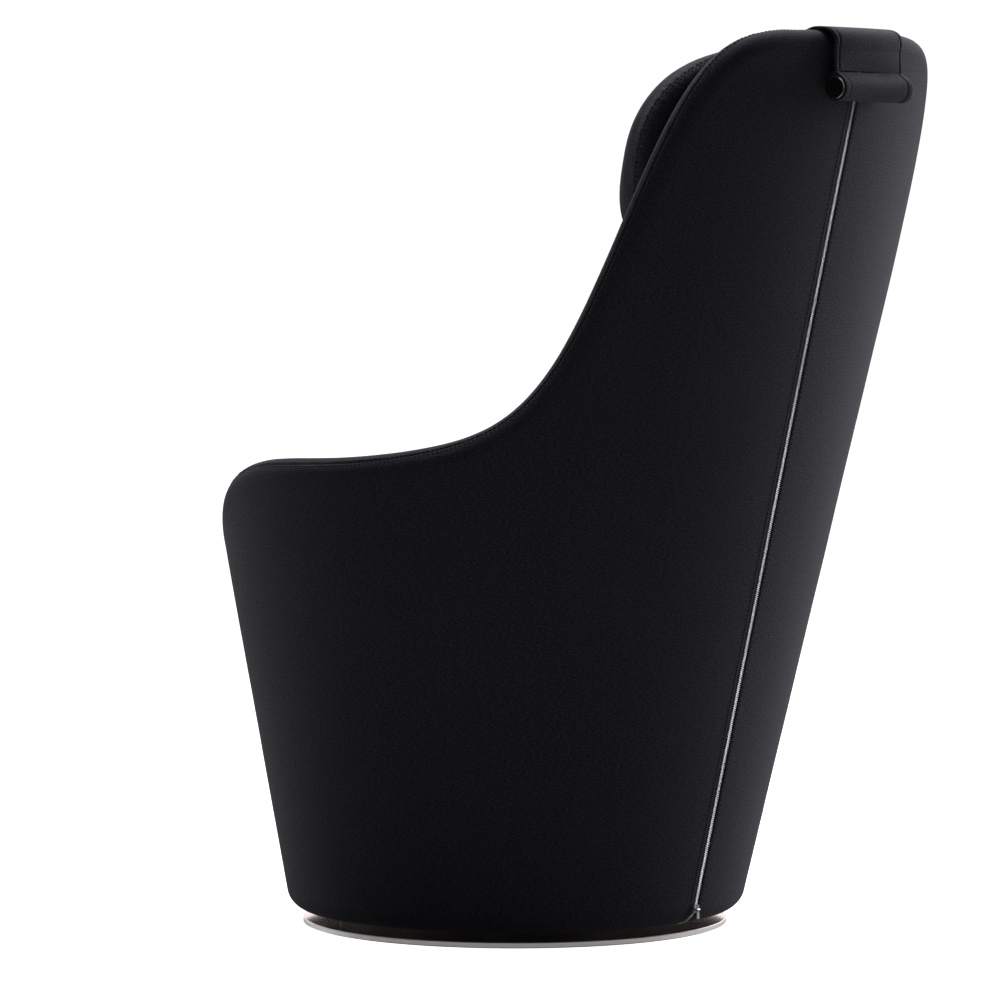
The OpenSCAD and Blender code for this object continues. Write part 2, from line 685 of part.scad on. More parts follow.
// The rear half ends a hair below the seam, so that the two covers only meet
function head_seam_ring(o) = [for (i = [0:HEAD_SIDES - 1])
    head_point(i * 360 / HEAD_SIDES, HEAD_RINGS[HEAD_SEAM][0], HEAD_RINGS[HEAD_SEAM][1] - 0.006, o)];
module headrest_rear_cover() {
    rings = [for (o = [0, cover_t]) concat([head_seam_ring(o)], [for (j = [HEAD_SEAM - 1:-1:0]) head_ring(j, o)])];
    color([0.12, 0.12, 0.14]) bowl(rings[0], head_tip(0, 0), rings[1], head_tip(0, cover_t));
}

// The strap, in columns across its width
strap_steps = 8;
STRAP_X = [for (i = [0:strap_steps]) strap_w * (i / strap_steps - 0.5)];
crest_r = wall_top / 2;
crest_z = back_h - crest_r;
// A point over the top of the back, o millimetres outside the cover, at angle t from the crest.
// On the outer side the strap bends more sharply, and stands off the back.
strap_bend = 2.6;
function bend_share(t) = 1 / pow(pow(abs(cos(t)), strap_bend) + pow(abs(sin(t)), strap_bend), 1 / strap_bend);
function crest_point(x, o, t) =
    let (s = t < 0 ? bend_share(t) : 1, reach = crest_r + o + (t < 0 ? strap_stand : 0))
    spot_x(x, crest_z + s * (crest_r + o) * cos(t), crest_r + s * reach * sin(t));
module strap_saddle() {
    turns = [-90:15:90];
    color([0.12, 0.12, 0.14])
        skin([for (x = STRAP_X) [for (t = turns) crest_point(x, strap_gap + strap_t, t)]],
            [for (x = STRAP_X) [for (t = turns) crest_point(x, strap_gap, t)]]);
}
strap_end_z = head_z + head_half_h * 0.35;
function front_line(x, z0, o) = [for (t = [0, 0.5, 1]) let (z = z0 + (strap_end_z - z0) * t)
    spot_x(x, z, wall(z) + o)];
module strap_front() {
    z0 = crest_z - 0.3;
    color([0.12, 0.12, 0.14])
        skin([for (x = STRAP_X) front_line(x, z0, strap_gap + strap_t)],
            [for (x = STRAP_X) front_line(x, z0, strap_gap)]);
}

// The counterweight hangs on the strap, down the outside of the back
back_tilt = atan(shell_lean + shell_flare);
roll_z = back_h - roll_drop;
roll_out = sleeve_r + roll_gap;
roll_face_z = roll_z + roll_out * sin(back_tilt);
roll_y = back_y(roll_face_z) + roll_out * cos(back_tilt);
// The strap's outer face meets the sleeve just outside the rod's axis
neck_out = 0.6;
module strap_rear() {
    z0 = crest_z - 0.3;
    z1 = roll_z + neck_h + 0.3;
    outer_end = roll_y + neck_out;
    inner_end = outer_end - strap_t;
    function outer_top(x) = crest_point(x, strap_gap + strap_t, -90) - [0, 0, 0.3];
    function inner_top(x) = crest_point(x, strap_gap, -90) - [0, 0, 0.3];
    color([0.12, 0.12, 0.14])
        skin([for (x = STRAP_X) [[x, outer_end, z1], outer_top(x)]],
            [for (x = STRAP_X) [[x, inner_end, z1], inner_top(x)]]);
}
module along_roll() {
    translate([0, roll_y, roll_z]) rotate([0, 90, 0]) children();
}
module counterweight_rod() {
    color("dimgray") along_roll() {
        cylinder(h = rod_len - 2 * (cap_t + cap_ring_len), r = rod_r, center = true);
        cylinder(h = rod_len - 2 * cap_t, r = rod_r - cap_ring_w - ring_fit, center = true);
    }
}
// Where a flat side of the neck, which starts at point p beside the axis, runs into the round sleeve
function sleeve_touch(p, side) =
    let (a = atan2(p[1], -p[0]) + side * acos(sleeve_r / norm(p)), r = sleeve_r - 0.6)
    [-r * cos(a), r * sin(a)];
module roll_sleeve() {
    length = strap_w + 1;
    outer = [-neck_h, neck_out];
    inner = [-neck_h, neck_out - strap_t];
    color([0.12, 0.12, 0.14]) along_roll()
        difference() {
            union() {
                cylinder(h = length, r = sleeve_r, center = true);
                translate([0, 0, -strap_w / 2]) linear_extrude(strap_w)
                    polygon([inner, outer, sleeve_touch(outer, 1), [0, 0], sleeve_touch(inner, -1)]);
            }
            cylinder(h = length + 2, r = rod_r + sleeve_fit, center = true);
        }
}
module roll_cap_left() {
    color("black") along_roll() translate([0, 0, rod_len / 2 - cap_t])
        cylinder(h = cap_t, r = rod_r - cap_step);
}
module roll_ring_left() {
    color("silver") along_roll()
        disc_ring(rod_len / 2 - cap_t - cap_ring_len, cap_ring_len, rod_r, rod_r - cap_ring_w);
}

// The zip's own frame at height z: up along the back, and out from its face
module on_back(z) {
    translate([0, back_y(z), z]) rotate([-back_tilt, 0, 0]) children();
}
// Points along the zip in the middle plane, y millimetres out from the back's face.
// The line starts at the first of the given angles round the bottom edge and ends at height z1, if there is one.
function zip_line(turns, z1, y) =
    let (o = -y / cos(back_tilt), r = bottom_round)
    concat(
        [for (t = turns) let (z = low_z - (r - o) * sin(t)) [back_y(z) - r + (r - o) * cos(t), z]],
        z1 ? [[back_y(z1) - o, z1]] : []);
// A strip along that line, between two distances from the middle and two depths
module back_strip(turns, z1, x0, x1, y0, y1) {
    inner = zip_line(turns, z1, y0);
    translate([x0, 0, 0]) rotate([90, 0, 90]) linear_extrude(x1 - x0)
        polygon(concat(zip_line(turns, z1, y1), [for (i = [len(inner) - 1:-1:0]) inner[i]]));
}
// The chain starts part of the way round the bottom edge
chain_turn = 78;
stop_turn = chain_turn + 8;
chain_top = zip_top - 3.5;
tape_y = -chain_in - seat_fit;
module zip_tape_left() {
    color("black") back_strip([stop_turn:-stop_turn / 8:0], zip_top, 0.5, slot_half - 0.3, tape_y - tape_t, tape_y);
}
module zip_chain() {
    color("silver") back_strip([chain_turn:-chain_turn / 8:0], chain_top, -chain_w / 2, chain_w / 2, -chain_in, chain_out);
}
stop_w = chain_w + 1.2;
module zip_top_stop() {
    color("silver") on_back(chain_top + 0.3)
        translate([-stop_w / 2, -chain_in, 0]) cube([stop_w, chain_in + chain_out, 2.5]);
}
module zip_bottom_stop() {
    color("silver") back_strip([stop_turn, chain_turn + 1.2], undef, -stop_w / 2, stop_w / 2, -chain_in, chain_out);
}

// The slider straddles the chain, and its two ears hold the pull's pin
slider_gap = 0.25;
slider_half = chain_w / 2 + slider_gap + 1.3;
slider_top = chain_out + slider_gap + 1.2;
pin_y = slider_top + 2.3;
pin_r = 0.8;
ear_x = 1.6;
ear_t = 1;
module at_slider() {
    on_back(slider_z) children();
}
module zip_slider() {
    color("silver") at_slider() {
        difference() {
            translate([-slider_half, tape_y + 0.2, -slider_len / 2])
                cube([2 * slider_half, slider_top - tape_y - 0.2, slider_len]);
            translate([-chain_w / 2 - slider_gap, tape_y - 1, -slider_len])
                cube([chain_w + 2 * slider_gap, chain_out + slider_gap - tape_y + 1, 2 * slider_len]);
        }
        for (side = [-1, 1]) translate([side * (ear_x + ear_t / 2), 0, 0]) {
            translate([-ear_t / 2, slider_top, -1.5]) cube([ear_t, pin_y - slider_top, 3]);
            translate([0, pin_y, 0]) rotate([0, 90, 0]) cylinder(h = ear_t, r = 1.5, center = true);
        }
        translate([0, pin_y, 0]) rotate([0, 90, 0]) cylinder(h = 2 * ear_x + ear_t, r = pin_r, center = true);
    }
}
// The pull hangs straight down from its pin
pull_t = 1.2;
pin_world_y = back_y(slider_z) + pin_y * cos(back_tilt);
pin_world_z = slider_z - pin_y * sin(back_tilt);
module zip_pull() {
    neck = ear_x - 0.3;
    color("silver") translate([0, pin_world_y, pin_world_z])
        difference() {
            union() {
                rotate([0, 90, 0]) cylinder(h = 2 * neck, r = 1.7, center = true);
                translate([-neck, -pull_t / 2, -4]) cube([2 * neck, pull_t, 4]);
                translate([-pull_w / 2, -pull_t / 2, -pull_len]) cube([pull_w, pull_t, pull_len - 3.4]);
            }
            rotate([0, 90, 0]) cylinder(h = 2 * neck + 2, r = pin_r + run_gap, center = true);
        }
}

floor_pad();
base_plate();
base_screws();
spindle();
thrust_bearing();
retaining_washer();
retaining_screw();
swivel_hub();
hub_bush();
hub_bolts();
cross_rails();
base_ring();
bottom_board();
dust_cover();
post(back_post_angle, back_hoop_z);  // back_post_left
post(-back_post_angle, back_hoop_z);  // back_post_right
back_hoop();
post(rear_arm_angle, arm_hoop_z);  // rear_arm_post_left
post(-rear_arm_angle, arm_hoop_z);  // rear_arm_post_right
post(front_arm_angle, arm_hoop_z);  // front_arm_post_left
post(-front_arm_angle, arm_hoop_z);  // front_arm_post_right
arm_hoop_left();
mirror([1, 0, 0]) arm_hoop_left();  // arm_hoop_right
seat_ring();
seat_board();
deck_cloth();
foam_back();
foam_side(1);  // foam_side_left
foam_side(-1);  // foam_side_right
foam_front();
outer_cover();
inner_cover();
seat_cushion_foam();
seat_cushion_cover();
seat_cushion_base_cloth();
zip_tape_left();
mirror([1, 0, 0]) zip_tape_left();  // zip_tape_right
zip_chain();
zip_top_stop();
zip_bottom_stop();
zip_slider();
zip_pull();
headrest_foam();
headrest_front_cover();
headrest_rear_cover();
strap_front();
strap_saddle();
strap_rear();
counterweight_rod();
roll_sleeve();
roll_cap_left();
mirror([1, 0, 0]) roll_cap_left();  // roll_cap_right
roll_ring_left();
mirror([1, 0, 0]) roll_ring_left();  // roll_ring_right
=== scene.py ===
"""Looks of a high back lounge chair, built as Blender operators around its packed frame."""

import math

import bmesh
import bpy
import numpy as np
from mathutils import Matrix, Vector, noise
from mathutils.bvhtree import BVHTree
from mathutils.kdtree import KDTree


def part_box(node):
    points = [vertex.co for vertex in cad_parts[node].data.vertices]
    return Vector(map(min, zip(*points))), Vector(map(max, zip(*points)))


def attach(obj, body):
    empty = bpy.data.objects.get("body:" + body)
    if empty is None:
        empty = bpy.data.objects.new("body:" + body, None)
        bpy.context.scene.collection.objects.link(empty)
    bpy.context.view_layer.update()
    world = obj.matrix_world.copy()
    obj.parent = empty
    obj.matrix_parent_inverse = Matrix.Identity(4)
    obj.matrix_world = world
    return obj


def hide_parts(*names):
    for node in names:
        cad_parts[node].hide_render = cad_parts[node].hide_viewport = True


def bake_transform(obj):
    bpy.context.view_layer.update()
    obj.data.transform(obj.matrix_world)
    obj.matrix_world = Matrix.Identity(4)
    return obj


bl_info = {
    "name": "High Back Lounge Chair",
    "version": (1, 0, 0),
    "blender": (4, 5, 0),
    "location": "3D View > Sidebar > Chair",
    "description": "Builds the covers, cushions, strap, zip and finishes of a lounge chair",
    "category": "Object",
}

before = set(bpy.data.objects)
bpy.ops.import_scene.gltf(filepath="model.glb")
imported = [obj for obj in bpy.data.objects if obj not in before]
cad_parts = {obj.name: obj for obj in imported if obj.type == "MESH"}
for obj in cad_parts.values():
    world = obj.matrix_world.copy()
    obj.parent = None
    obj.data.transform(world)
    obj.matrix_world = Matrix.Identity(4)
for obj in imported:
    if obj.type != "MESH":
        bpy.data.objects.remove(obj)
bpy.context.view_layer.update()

# Angle from the middle of the back where the rim starts to level out towards the front
LIP_START = 150.0
# Width of the dip in the arms' top edge, in degrees
DIP_SPREAD = 18.0
# Steps across the outer cover from the zip's slot, in metres, closest at its folded edge
EDGE_STEPS = np.array([0, 0.25, 0.6, 1.1, 1.8, 2.6, 3.6, 4.8]) * 0.001
# How far the outer cover's two edges are from the middle where the zip doesn't part them, in metres
CLOSED_HALF = 0.0003
# Size of the small cubes that the cushions are rebuilt from before the simulation, in metres
VOXEL = 0.005
# How far inside its stuffed face a cushion starts before the simulation, in metres
CUSHION_START, HEADREST_START = 0.006, 0.0045
# How far from a seam the cloth is held while a cushion is stuffed, in metres
CUSHION_HOLD, HEADREST_HOLD = 0.0065, 0.0055
# Radius at which the weave is laid round the seat cushion's side, in metres
WEAVE_R = 0.27
# Soft waves of the covers' cloth: pairs of a depth in metres and a number of waves for each metre
OUTER_WAVES, INNER_WAVES = ((0.00035, 9.0), (0.00012, 40.0)), ((0.0004, 8.0), (0.00012, 40.0))
# Points nearer than this are one, in metres, and edges that turn more than this many degrees are sharp
JOINED, SHARP = 1e-6, 55
# Radius of the rounded edges of the zip's slider and pull, in metres
SLIDER_ROUNDING = 0.00022
# Length of a pucker along a seam, in metres for each radian of its wave
PUCKER_WAVE = 0.0011 / 0.7
# How the filling pushes the cushions' cloth out in the simulation
FILLING = {"quality": 6, "mass": 0.3, "tension_stiffness": 18, "compression_stiffness": 10,
           "shear_stiffness": 8, "bending_stiffness": 1.2, "use_pressure": True,
           "uniform_pressure_force": 4.0, "vertex_group_mass": "seams", "shrink_min": -0.03}
# Frames that the simulation runs for
STUFF_FRAMES = 20
# How often the cloth's moves are evened after the simulation
EVEN_TIMES = 14
# Room between the deck and the seat cushion's underside, in metres
CUSHION_LIFT = 0.0015
# How far a stitch's axis lies above the cloth, as a share of the thread's radius
STITCH_RISE = 0.3
# How far below the rolled rim's axis the zip's teeth end, in metres
TEETH_END = 0.0115
# Radius of the hole through the counterweight's sleeve, and of the dust cover's hole for the hub, in metres
SLEEVE_BORE, HUB_HOLE = 0.0124, 0.0374
# The headrest's outline in steps from the middle of its rear face, over its edge, to the middle of its front:
# share of the outline's size, and depth as a share of its thickness
HEAD_STEPS = [(0, 0), (0.5, 0), (0.88, 0), (0.97, 0.06), (1, 0.2), (1, 0.38), (0.985, 0.61), (0.94, 0.8),
              (0.82, 0.93), (0.58, 0.98), (0.28, 0.995), (0, 1)]
# The step where its front and rear covers are sewn together
HEAD_SEAM = 4


def distance(name, text, value):
    """A length in metres that a user can set."""
    return bpy.props.FloatProperty(name=name, description=text, default=value, unit="LENGTH", precision=5)


def angle(name, text, degrees):
    """An angle that a user can set."""
    return bpy.props.FloatProperty(name=name, description=text, default=math.radians(degrees),
                                   subtype="ANGLE")


def share(name, text, value):
    """A share from 0 to 1 that a user can set."""
    return bpy.props.FloatProperty(name=name, description=text, default=value, min=0, max=1, subtype="FACTOR")


def number(name, text, value):
    """A bare number that a user can set."""
    return bpy.props.FloatProperty(name=name, description=text, default=value, precision=4)


def cut(name, text, value):
    """The width and length of a flat sheet that a user can set."""
    return bpy.props.FloatVectorProperty(name=name, description=text + ", in metres", default=value, size=2,
                                         unit="LENGTH", precision=3)


def area(name, text, value):
    """An area that a user can set."""
    return bpy.props.FloatProperty(name=name, description=text + ", in square metres", default=value,
                                   unit="AREA", precision=3)


def colour(name, text, value):
    """A colour that a user can set."""
    return bpy.props.FloatVectorProperty(name=name, description=text, default=value, size=3, min=0, max=1,
                                         subtype="COLOR")


class ShellSizes(bpy.types.PropertyGroup):
    """The cone-sided tub and its rim."""

    cone_r: distance("Cone radius", "Outer radius of the tub's cone, carried down to the floor", 0.2516)
    cone_slope: number("Cone slope", "How far the sides slope out for each metre of height", 0.2044)
    cone_lean: number("Cone lean", "How far the tub's centre line leans back for each metre of height", 0.038)
    underside_z: distance("Underside", "Height of the tub's underside above the floor", 0.017)
    bottom_round: distance("Bottom rounding", "Radius of the tub's bottom edge", 0.020)
    turn_in: distance("Turn-in", "How far the outer cover turns in under the tub", 0.055)
    back_h: distance("Back height", "Height of the top edge of the back", 0.993)
    arm_h: distance("Arm height", "Height of the top edge of the arms", 0.540)
    front_h: distance("Front height", "Height that the rim falls to below the front lip", 0.351)
    wing_angle: angle("Wing angle", "Angle where the rim is half way down to the arm", 37.5)
    wing_sharp: number("Wing sharpness", "How sharply the rim falls from the back", 6.14)
    arm_angle: angle("Arm angle", "Angle where the rim is half way down to the front", 141.5)
    arm_sharp: number("Arm sharpness", "How sharply the rim falls from the arm", 10.8)
    arm_dip: distance("Arm dip", "How far the top edge of the arms dips towards the back", 0.0048)
    dip_angle: angle("Dip angle", "Angle where the arms dip most", 87)
    wall_low: distance("Wall at the seat", "Thickness of the wall at the seat", 0.054)
    wall_top: distance("Wall at the top", "Thickness of the wall at the top of the back", 0.043)
    deck_z: distance("Deck height", "Height of the deck that the cushion lies on", 0.318)
    seam_angle: angle("Rim seam", "Angle down the outside of the rolled rim where the covers are sewn", 31)
    seam_arm: angle("Rim seam on the arms", "The same angle along the arms", 40)
    seam_front: angle("Rim seam in front", "The same angle at the front", 31)
    seam_top: angle("Rim seam at the top", "The same angle at the top of the back, inside the crest", -20)
    cover_t: distance("Cover thickness", "Thickness of the upholstery cloth", 0.0015)


class SeamSizes(bpy.types.PropertyGroup):
    """Seams and stitches of the upholstery."""

    groove: distance("Groove depth", "How deep a seam pulls the cloth in", 0.0008)
    groove_w: distance("Groove width", "Half width of the cloth that a seam pulls in", 0.0013)
    stitch_pitch: distance("Stitch pitch", "Distance from one stitch to the next", 0.0052)
    stitch_len: distance("Stitch length", "Length of a stitch that shows", 0.0040)
    stitch_r: distance("Thread radius", "Radius of the sewing thread", 0.0004)
    stitch_off: distance("Stitch distance", "Distance of a row of stitches from its seam", 0.0026)
    pucker: distance("Pucker", "Depth of the small puckers along a seam", 0.0003)


class CushionSizes(bpy.types.PropertyGroup):
    """The round seat cushion."""

    side: distance("Side height", "Height of the cushion's side", 0.088)
    crown: distance("Crown", "Height of the crown above the side", 0.024)
    gap: distance("Gap", "Room between the cushion and the wall", 0.003)
    rounding: distance("Rounding", "Radius of the cushion's edges", 0.016)
    bulge: distance("Bulge", "How far the side bulges out between its seams", 0.005)
    puff: distance("Puff", "How far the filling may push the cloth out", 0.007)


class HeadrestSizes(bpy.types.PropertyGroup):
    """The headrest cushion that hangs inside the back."""

    middle_z: distance("Middle", "Height of the headrest's middle above the floor", 0.860)
    half_w: distance("Half width", "Half of its width, measured round the curve", 0.2165)
    half_h: distance("Half height", "Half of its height", 0.130)
    thick: distance("Thickness", "Thickness at its middle", 0.098)
    swell: share("Swell", "How much thicker it is at its lower edge than at its middle", 0.35)
    gap: distance("Gap", "Room between the back and the headrest", 0.005)
    square: number("Squareness", "Power of the rounded oblong that its lower half follows", 3.0)
    square_top: number("Squareness at the top", "The same power for its upper half", 2.35)
    puff: distance("Puff", "How far the filling may push the cloth out", 0.005)
    fill_out: distance("Fullness", "How far the stuffed cloth stands out again at its seams", 0.0025)


class StrapSizes(bpy.types.PropertyGroup):
    """The strap over the back, and the counterweight's sleeve."""

    width: distance("Width", "Width of the strap", 0.1195)
    thick: distance("Thickness", "Thickness of the strap", 0.0035)
    gap: distance("Gap", "Room between the strap and the cover under it", 0.0008)
    stand: distance("Stand-off", "How far the stiff strap stands off the back where it turns down", 0.0068)
    bend: number("Bend", "Power of the curve in which the strap turns down", 2.6)
    edge_stitch: distance("Edge stitch", "Distance of the stitches from the strap's edge", 0.006)
    roll_z: distance("Roll height", "Height of the counterweight's axis", 0.9317)
    roll_gap: distance("Roll gap", "Room between the sleeve and the back", 0.0027)
    sleeve_r: distance("Sleeve radius", "Outer radius of the sleeve", 0.0142)
    sleeve_len: distance("Sleeve length", "Length of the sleeve", 0.1205)
    neck_h: distance("Neck height", "Height of the sleeve's sewn neck above its axis", 0.0174)
    neck_out: distance("Neck reach", "How far the neck's outer face lies outside the sleeve's axis", 0.0006)
    hem: distance("Hem", "Width of the hem at each end of the sleeve", 0.009)


class ZipSizes(bpy.types.PropertyGroup):
    """The zip up the back."""

    slot_half: distance("Half slot", "Half of the slot between the edges of the cover", 0.0055)
    low_turn: angle("Start of the teeth", "Angle round the tub's bottom edge where the teeth start", 78)
    tooth_pitch: distance("Tooth pitch", "Distance from one tooth to the next on the same side", 0.0023)
    tooth_h: distance("Tooth height", "Size of a tooth along the zip", 0.00078)
    teeth_w: distance("Width of the teeth", "Width over the metal teeth, between the tapes' beads", 0.0047)
    chain_out: distance("Teeth proud", "How far the teeth stand out from the cover", 0.0006)
    chain_in: distance("Teeth depth", "How deep the teeth reach behind the cover's face", 0.001)


class CutSizes(bpy.types.PropertyGroup):
    """Sizes that the sheets of cloth were cut to, laid flat."""

    outer: cut("Outer cover", "Width and length of the outer cover's cloth", (2.25, 1.03))
    outer_area: area("Outer cover's area", "Area of the outer cover's cloth", 1.26)
    inner: cut("Inner cover", "Width and length of the inner cover's cloth", (1.95, 0.76))
    inner_area: area("Inner cover's area", "Area of the inner cover's cloth", 0.63)
    dust: cut("Dust cover", "Width and length of the dust cover's cloth", (0.40, 0.40))
    dust_area: area("Dust cover's area", "Area of the dust cover's cloth", 0.119)
    deck: cut("Deck cloth", "Width and length of the deck's cloth", (0.53, 0.53))
    deck_area: area("Deck cloth's area", "Area of the deck's cloth", 0.217)
    deck_tuck: distance("Deck cloth's tuck", "How far the deck's cloth runs in under the inner cover", 0.003)


class Finishes(bpy.types.PropertyGroup):
    """Colours of the cloth, thread, metal and plastic."""

    cloth_dark: colour("Cloth, dark yarn", "Colour of the cloth's darkest yarn", (0.0035, 0.0035, 0.0052))
    cloth_light: colour("Cloth, light yarn", "Colour of the cloth's lightest yarn", (0.0330, 0.0310, 0.0410))
    # The thread's colour is darker than the cloth's: real dark thread, and also painted shade of the stitch
    # holes
    thread: colour("Thread", "Colour of the sewing thread", (0.0035, 0.0035, 0.0045))
    lining: colour("Lining", "Colour of the plain black lining cloth", (0.004, 0.004, 0.004))
    plate: colour("Base plate", "Colour of the base plate's dark polished top", (0.98, 0.72, 0.68))
    plate_edge: colour("Plate's edge", "Colour of the base plate's bare satin edge", (0.62, 0.61, 0.60))
    steel: colour("Steel", "Colour of bare steel", (0.55, 0.55, 0.55))
    ring: colour("End ring", "Colour of the bright rings at the roll's ends", (0.86, 0.86, 0.88))
    bright: colour("Zip metal", "Colour of the zip's teeth, slider and pull", (0.27, 0.27, 0.28))
    rib: distance("Rib pitch", "Height of one rib of the weave", 0.0020)
    warp: distance("Warp pitch", "Width of one warp yarn", 0.0012)


class StageSizes(bpy.types.PropertyGroup):
    """Camera, floor and light."""

    eye: bpy.props.FloatVectorProperty(name="Camera", description="Where the camera stands", size=3,
                                       default=(4.425, 3.750, 0.7622), unit="LENGTH")
    lens: bpy.props.FloatProperty(name="Lens", description="Focal length in millimetres", default=184.79,
                                  unit="CAMERA")
    glow: number("Backdrop", "How bright the white floor and surroundings look to the camera", 1.05)
    shine: number("Shine", "How bright the surroundings look in the polished parts", 1.1)
    pitch: angle("Tilt", "How far the camera looks down", 2.8075)
    yaw: angle("Turn", "How far the camera is turned from the swivel axis", 0.1662)
    floor: distance("Floor", "Half of the floor's width", 14.0)
    key: bpy.props.FloatProperty(name="Key light", description="Power of the large soft light", default=141,
                                 unit="POWER")
    fill: bpy.props.FloatProperty(name="Fill light", description="Power of the light on the other side",
                                  default=39, unit="POWER")
    ambient: number("Ambient", "Strength of the even light from all around", 0.06)


GROUPS = {
    "chair_shell": ShellSizes,
    "chair_seams": SeamSizes,
    "chair_cushion": CushionSizes,
    "chair_headrest": HeadrestSizes,
    "chair_strap": StrapSizes,
    "chair_zip": ZipSizes,
    "chair_cut": CutSizes,
    "chair_finish": Finishes,
    "chair_stage": StageSizes,
}


# The tub's surface. Angles are in degrees from the middle of the back towards +X.


def shell_radius(z, s):
    """The outer radius of the tub at height z, about its leaning centre line."""
    return s.cone_r + s.cone_slope * z


def back_y(z, s):
    """How far back the middle of the tub's outer face is at height z."""
    return s.cone_lean * z + shell_radius(z, s)


def wall(z, s):
    """The thickness of the tub's wall at height z."""
    t = np.clip((z - s.deck_z) / (s.back_h - s.deck_z), 0, 1)
    return s.wall_low - (s.wall_low - s.wall_top) * t


def spot(a, z, off, s):
    """Points at angle a and height z, off metres inside the tub's face."""
    r = shell_radius(z, s) - off
    turn = np.radians(a)
    return np.stack(np.broadcast_arrays(r * np.sin(turn), s.cone_lean * z + r * np.cos(turn), z), -1)


def beside_middle(x, z, reach, s):
    """Points x metres beside the middle of the back, at height z and reach metres from the centre line."""
    return np.stack(np.broadcast_arrays(x, s.cone_lean * z + np.sqrt(reach ** 2 - x ** 2), z), -1)


def rim_height(a, s):
    """The height of the rim's top edge at angle a."""
    a = np.abs(a)
    turn = math.degrees(s.arm_angle)
    fall = (180 / turn) ** s.arm_sharp
    slope = (s.arm_h - s.front_h) * s.arm_sharp * fall / (180 * (1 + fall) ** 2)
    reach = np.maximum(0, a - LIP_START) / (180 - LIP_START)
    lip = slope * (180 - LIP_START) / 2 * reach ** 2
    dip = s.arm_dip * np.exp(-((a - math.degrees(s.dip_angle)) / DIP_SPREAD) ** 2)
    arm = (s.arm_h - s.front_h) / (1 + (a / turn) ** s.arm_sharp)
    wing = (s.back_h - s.arm_h) / (1 + (a / math.degrees(s.wing_angle)) ** s.wing_sharp)
    return s.front_h + lip - dip + arm + wing


def rim_axis(a, s):
    """The rolled rim's axis: its angle, height and radius, and its way to the crest in degrees and height."""
    z = rim_height(a, s)
    w = wall(z, s) / 2
    turn = (shell_radius(z, s) - w) * math.pi / 180
    step = 0.2
    high, low = np.minimum(180, a + step), np.maximum(0, a - step)
    slope = (rim_height(high, s) - rim_height(low, s)) / (high - low)
    slope = np.where((a == 0) | (a == 180), 0, slope)
    run = np.sqrt(turn ** 2 + slope ** 2)
    return a + w * slope / (run * turn), z - w * turn / run, w, -slope / (run * turn), turn / run


def rim_point(axis, t, s):
    """Points of the rolled rim at angle t, in degrees from its crest: -90 outside and +90 inside."""
    c, z, w, to_a, to_z = axis
    u = w * np.cos(np.radians(t))
    return spot(c + u * to_a, z + u * to_z, w + w * np.sin(np.radians(t)), s)


def rim_seam(a, s):
    """How far down the outside of the rolled rim the seam lies, in degrees from the crest."""
    top, side, arm, front = [math.degrees(x) for x in (s.seam_top, s.seam_angle, s.seam_arm, s.seam_front)]
    stops, turns = [0, 12, 31, 55, 80, 112, 135, 180], [top, top, side, side, arm, arm, front, front]
    return sum(np.interp(np.abs(a) + k, stops, turns) for k in (-8, -4, 0, 4, 8)) / 5


def around(p, s):
    """How far round the tub's centre line each point of a grid lies, in radians."""
    return np.unwrap(np.arctan2(p[..., 0], p[..., 1] - s.cone_lean * p[..., 2]), axis=0)


def from_centre(p, s):
    """Points' offsets from the tub's leaning centre line, seen from above."""
    return p[:, :2] - np.stack([np.zeros(len(p)), s.cone_lean * p[:, 2]], -1)


def keep_inside(p, gap, s):
    """Moves points that are nearer to the wall than the gap straight towards the centre line."""
    offset = from_centre(p, s)
    limit = shell_radius(p[:, 2], s) - wall(p[:, 2], s) - gap
    pull = np.minimum(1, limit / np.maximum(np.linalg.norm(offset, axis=1), 1e-9))
    p[:, 0] *= pull
    p[:, 1] = s.cone_lean * p[:, 2] + offset[:, 1] * pull


# Meshes


def unit(v):
    """The vectors' directions, with length 1."""
    return v / np.maximum(np.linalg.norm(v, axis=-1, keepdims=True), 1e-12)


def run_along(line, axis=0):
    """How far along a line, or along each row of a grid, each point lies."""
    return np.insert(np.cumsum(np.linalg.norm(np.diff(line, axis=axis), axis=-1), axis), 0, 0, axis)


def points_at(at, run, line):
    """A line's points at the given distances along it."""
    return np.stack([np.interp(at, run, line[:, i]) for i in range(3)], -1)


def grid_uv(u, v):
    """A pair for each point of a grid, in the order of the mesh's points."""
    return np.stack(np.broadcast_arrays(u, v), -1).reshape(-1, 2)


def grid_normals(p, ring_u=False):
    """Outward unit normals of a grid whose columns turn from the back towards +X and run upwards."""
    across = np.roll(p, -1, 0) - np.roll(p, 1, 0) if ring_u else np.gradient(p, axis=0)
    return unit(np.cross(np.gradient(p, axis=1), across))


def cloth_noise(p, scale, seed):
    """Smooth noise from -1 to 1 at each point."""
    flat = p.reshape(-1, 3)
    shift = Vector((seed * 3.7, seed * 1.9, seed * 5.3))
    values = [noise.noise(Vector(q) * scale + shift) for q in flat]
    return np.array(values).reshape(p.shape[:-1])


def new_mesh(name, points, faces, uv=None):
    """A smooth mesh object. uv gives a pair in metres for each point."""
    mesh = bpy.data.meshes.new(name)
    mesh.from_pydata([tuple(q) for q in points], [], faces)
    mesh.validate()
    mesh.update()
    if uv is not None:
        layer = mesh.uv_layers.new(name="thread")
        index = np.zeros(len(mesh.loops), np.int32)
        mesh.loops.foreach_get("vertex_index", index)
        layer.data.foreach_set("uv", np.asarray(uv, np.float32)[index].ravel())
    mesh.polygons.foreach_set("use_smooth", [True] * len(mesh.polygons))
    piece = bpy.data.objects.new(name, mesh)
    bpy.context.scene.collection.objects.link(piece)
    return piece


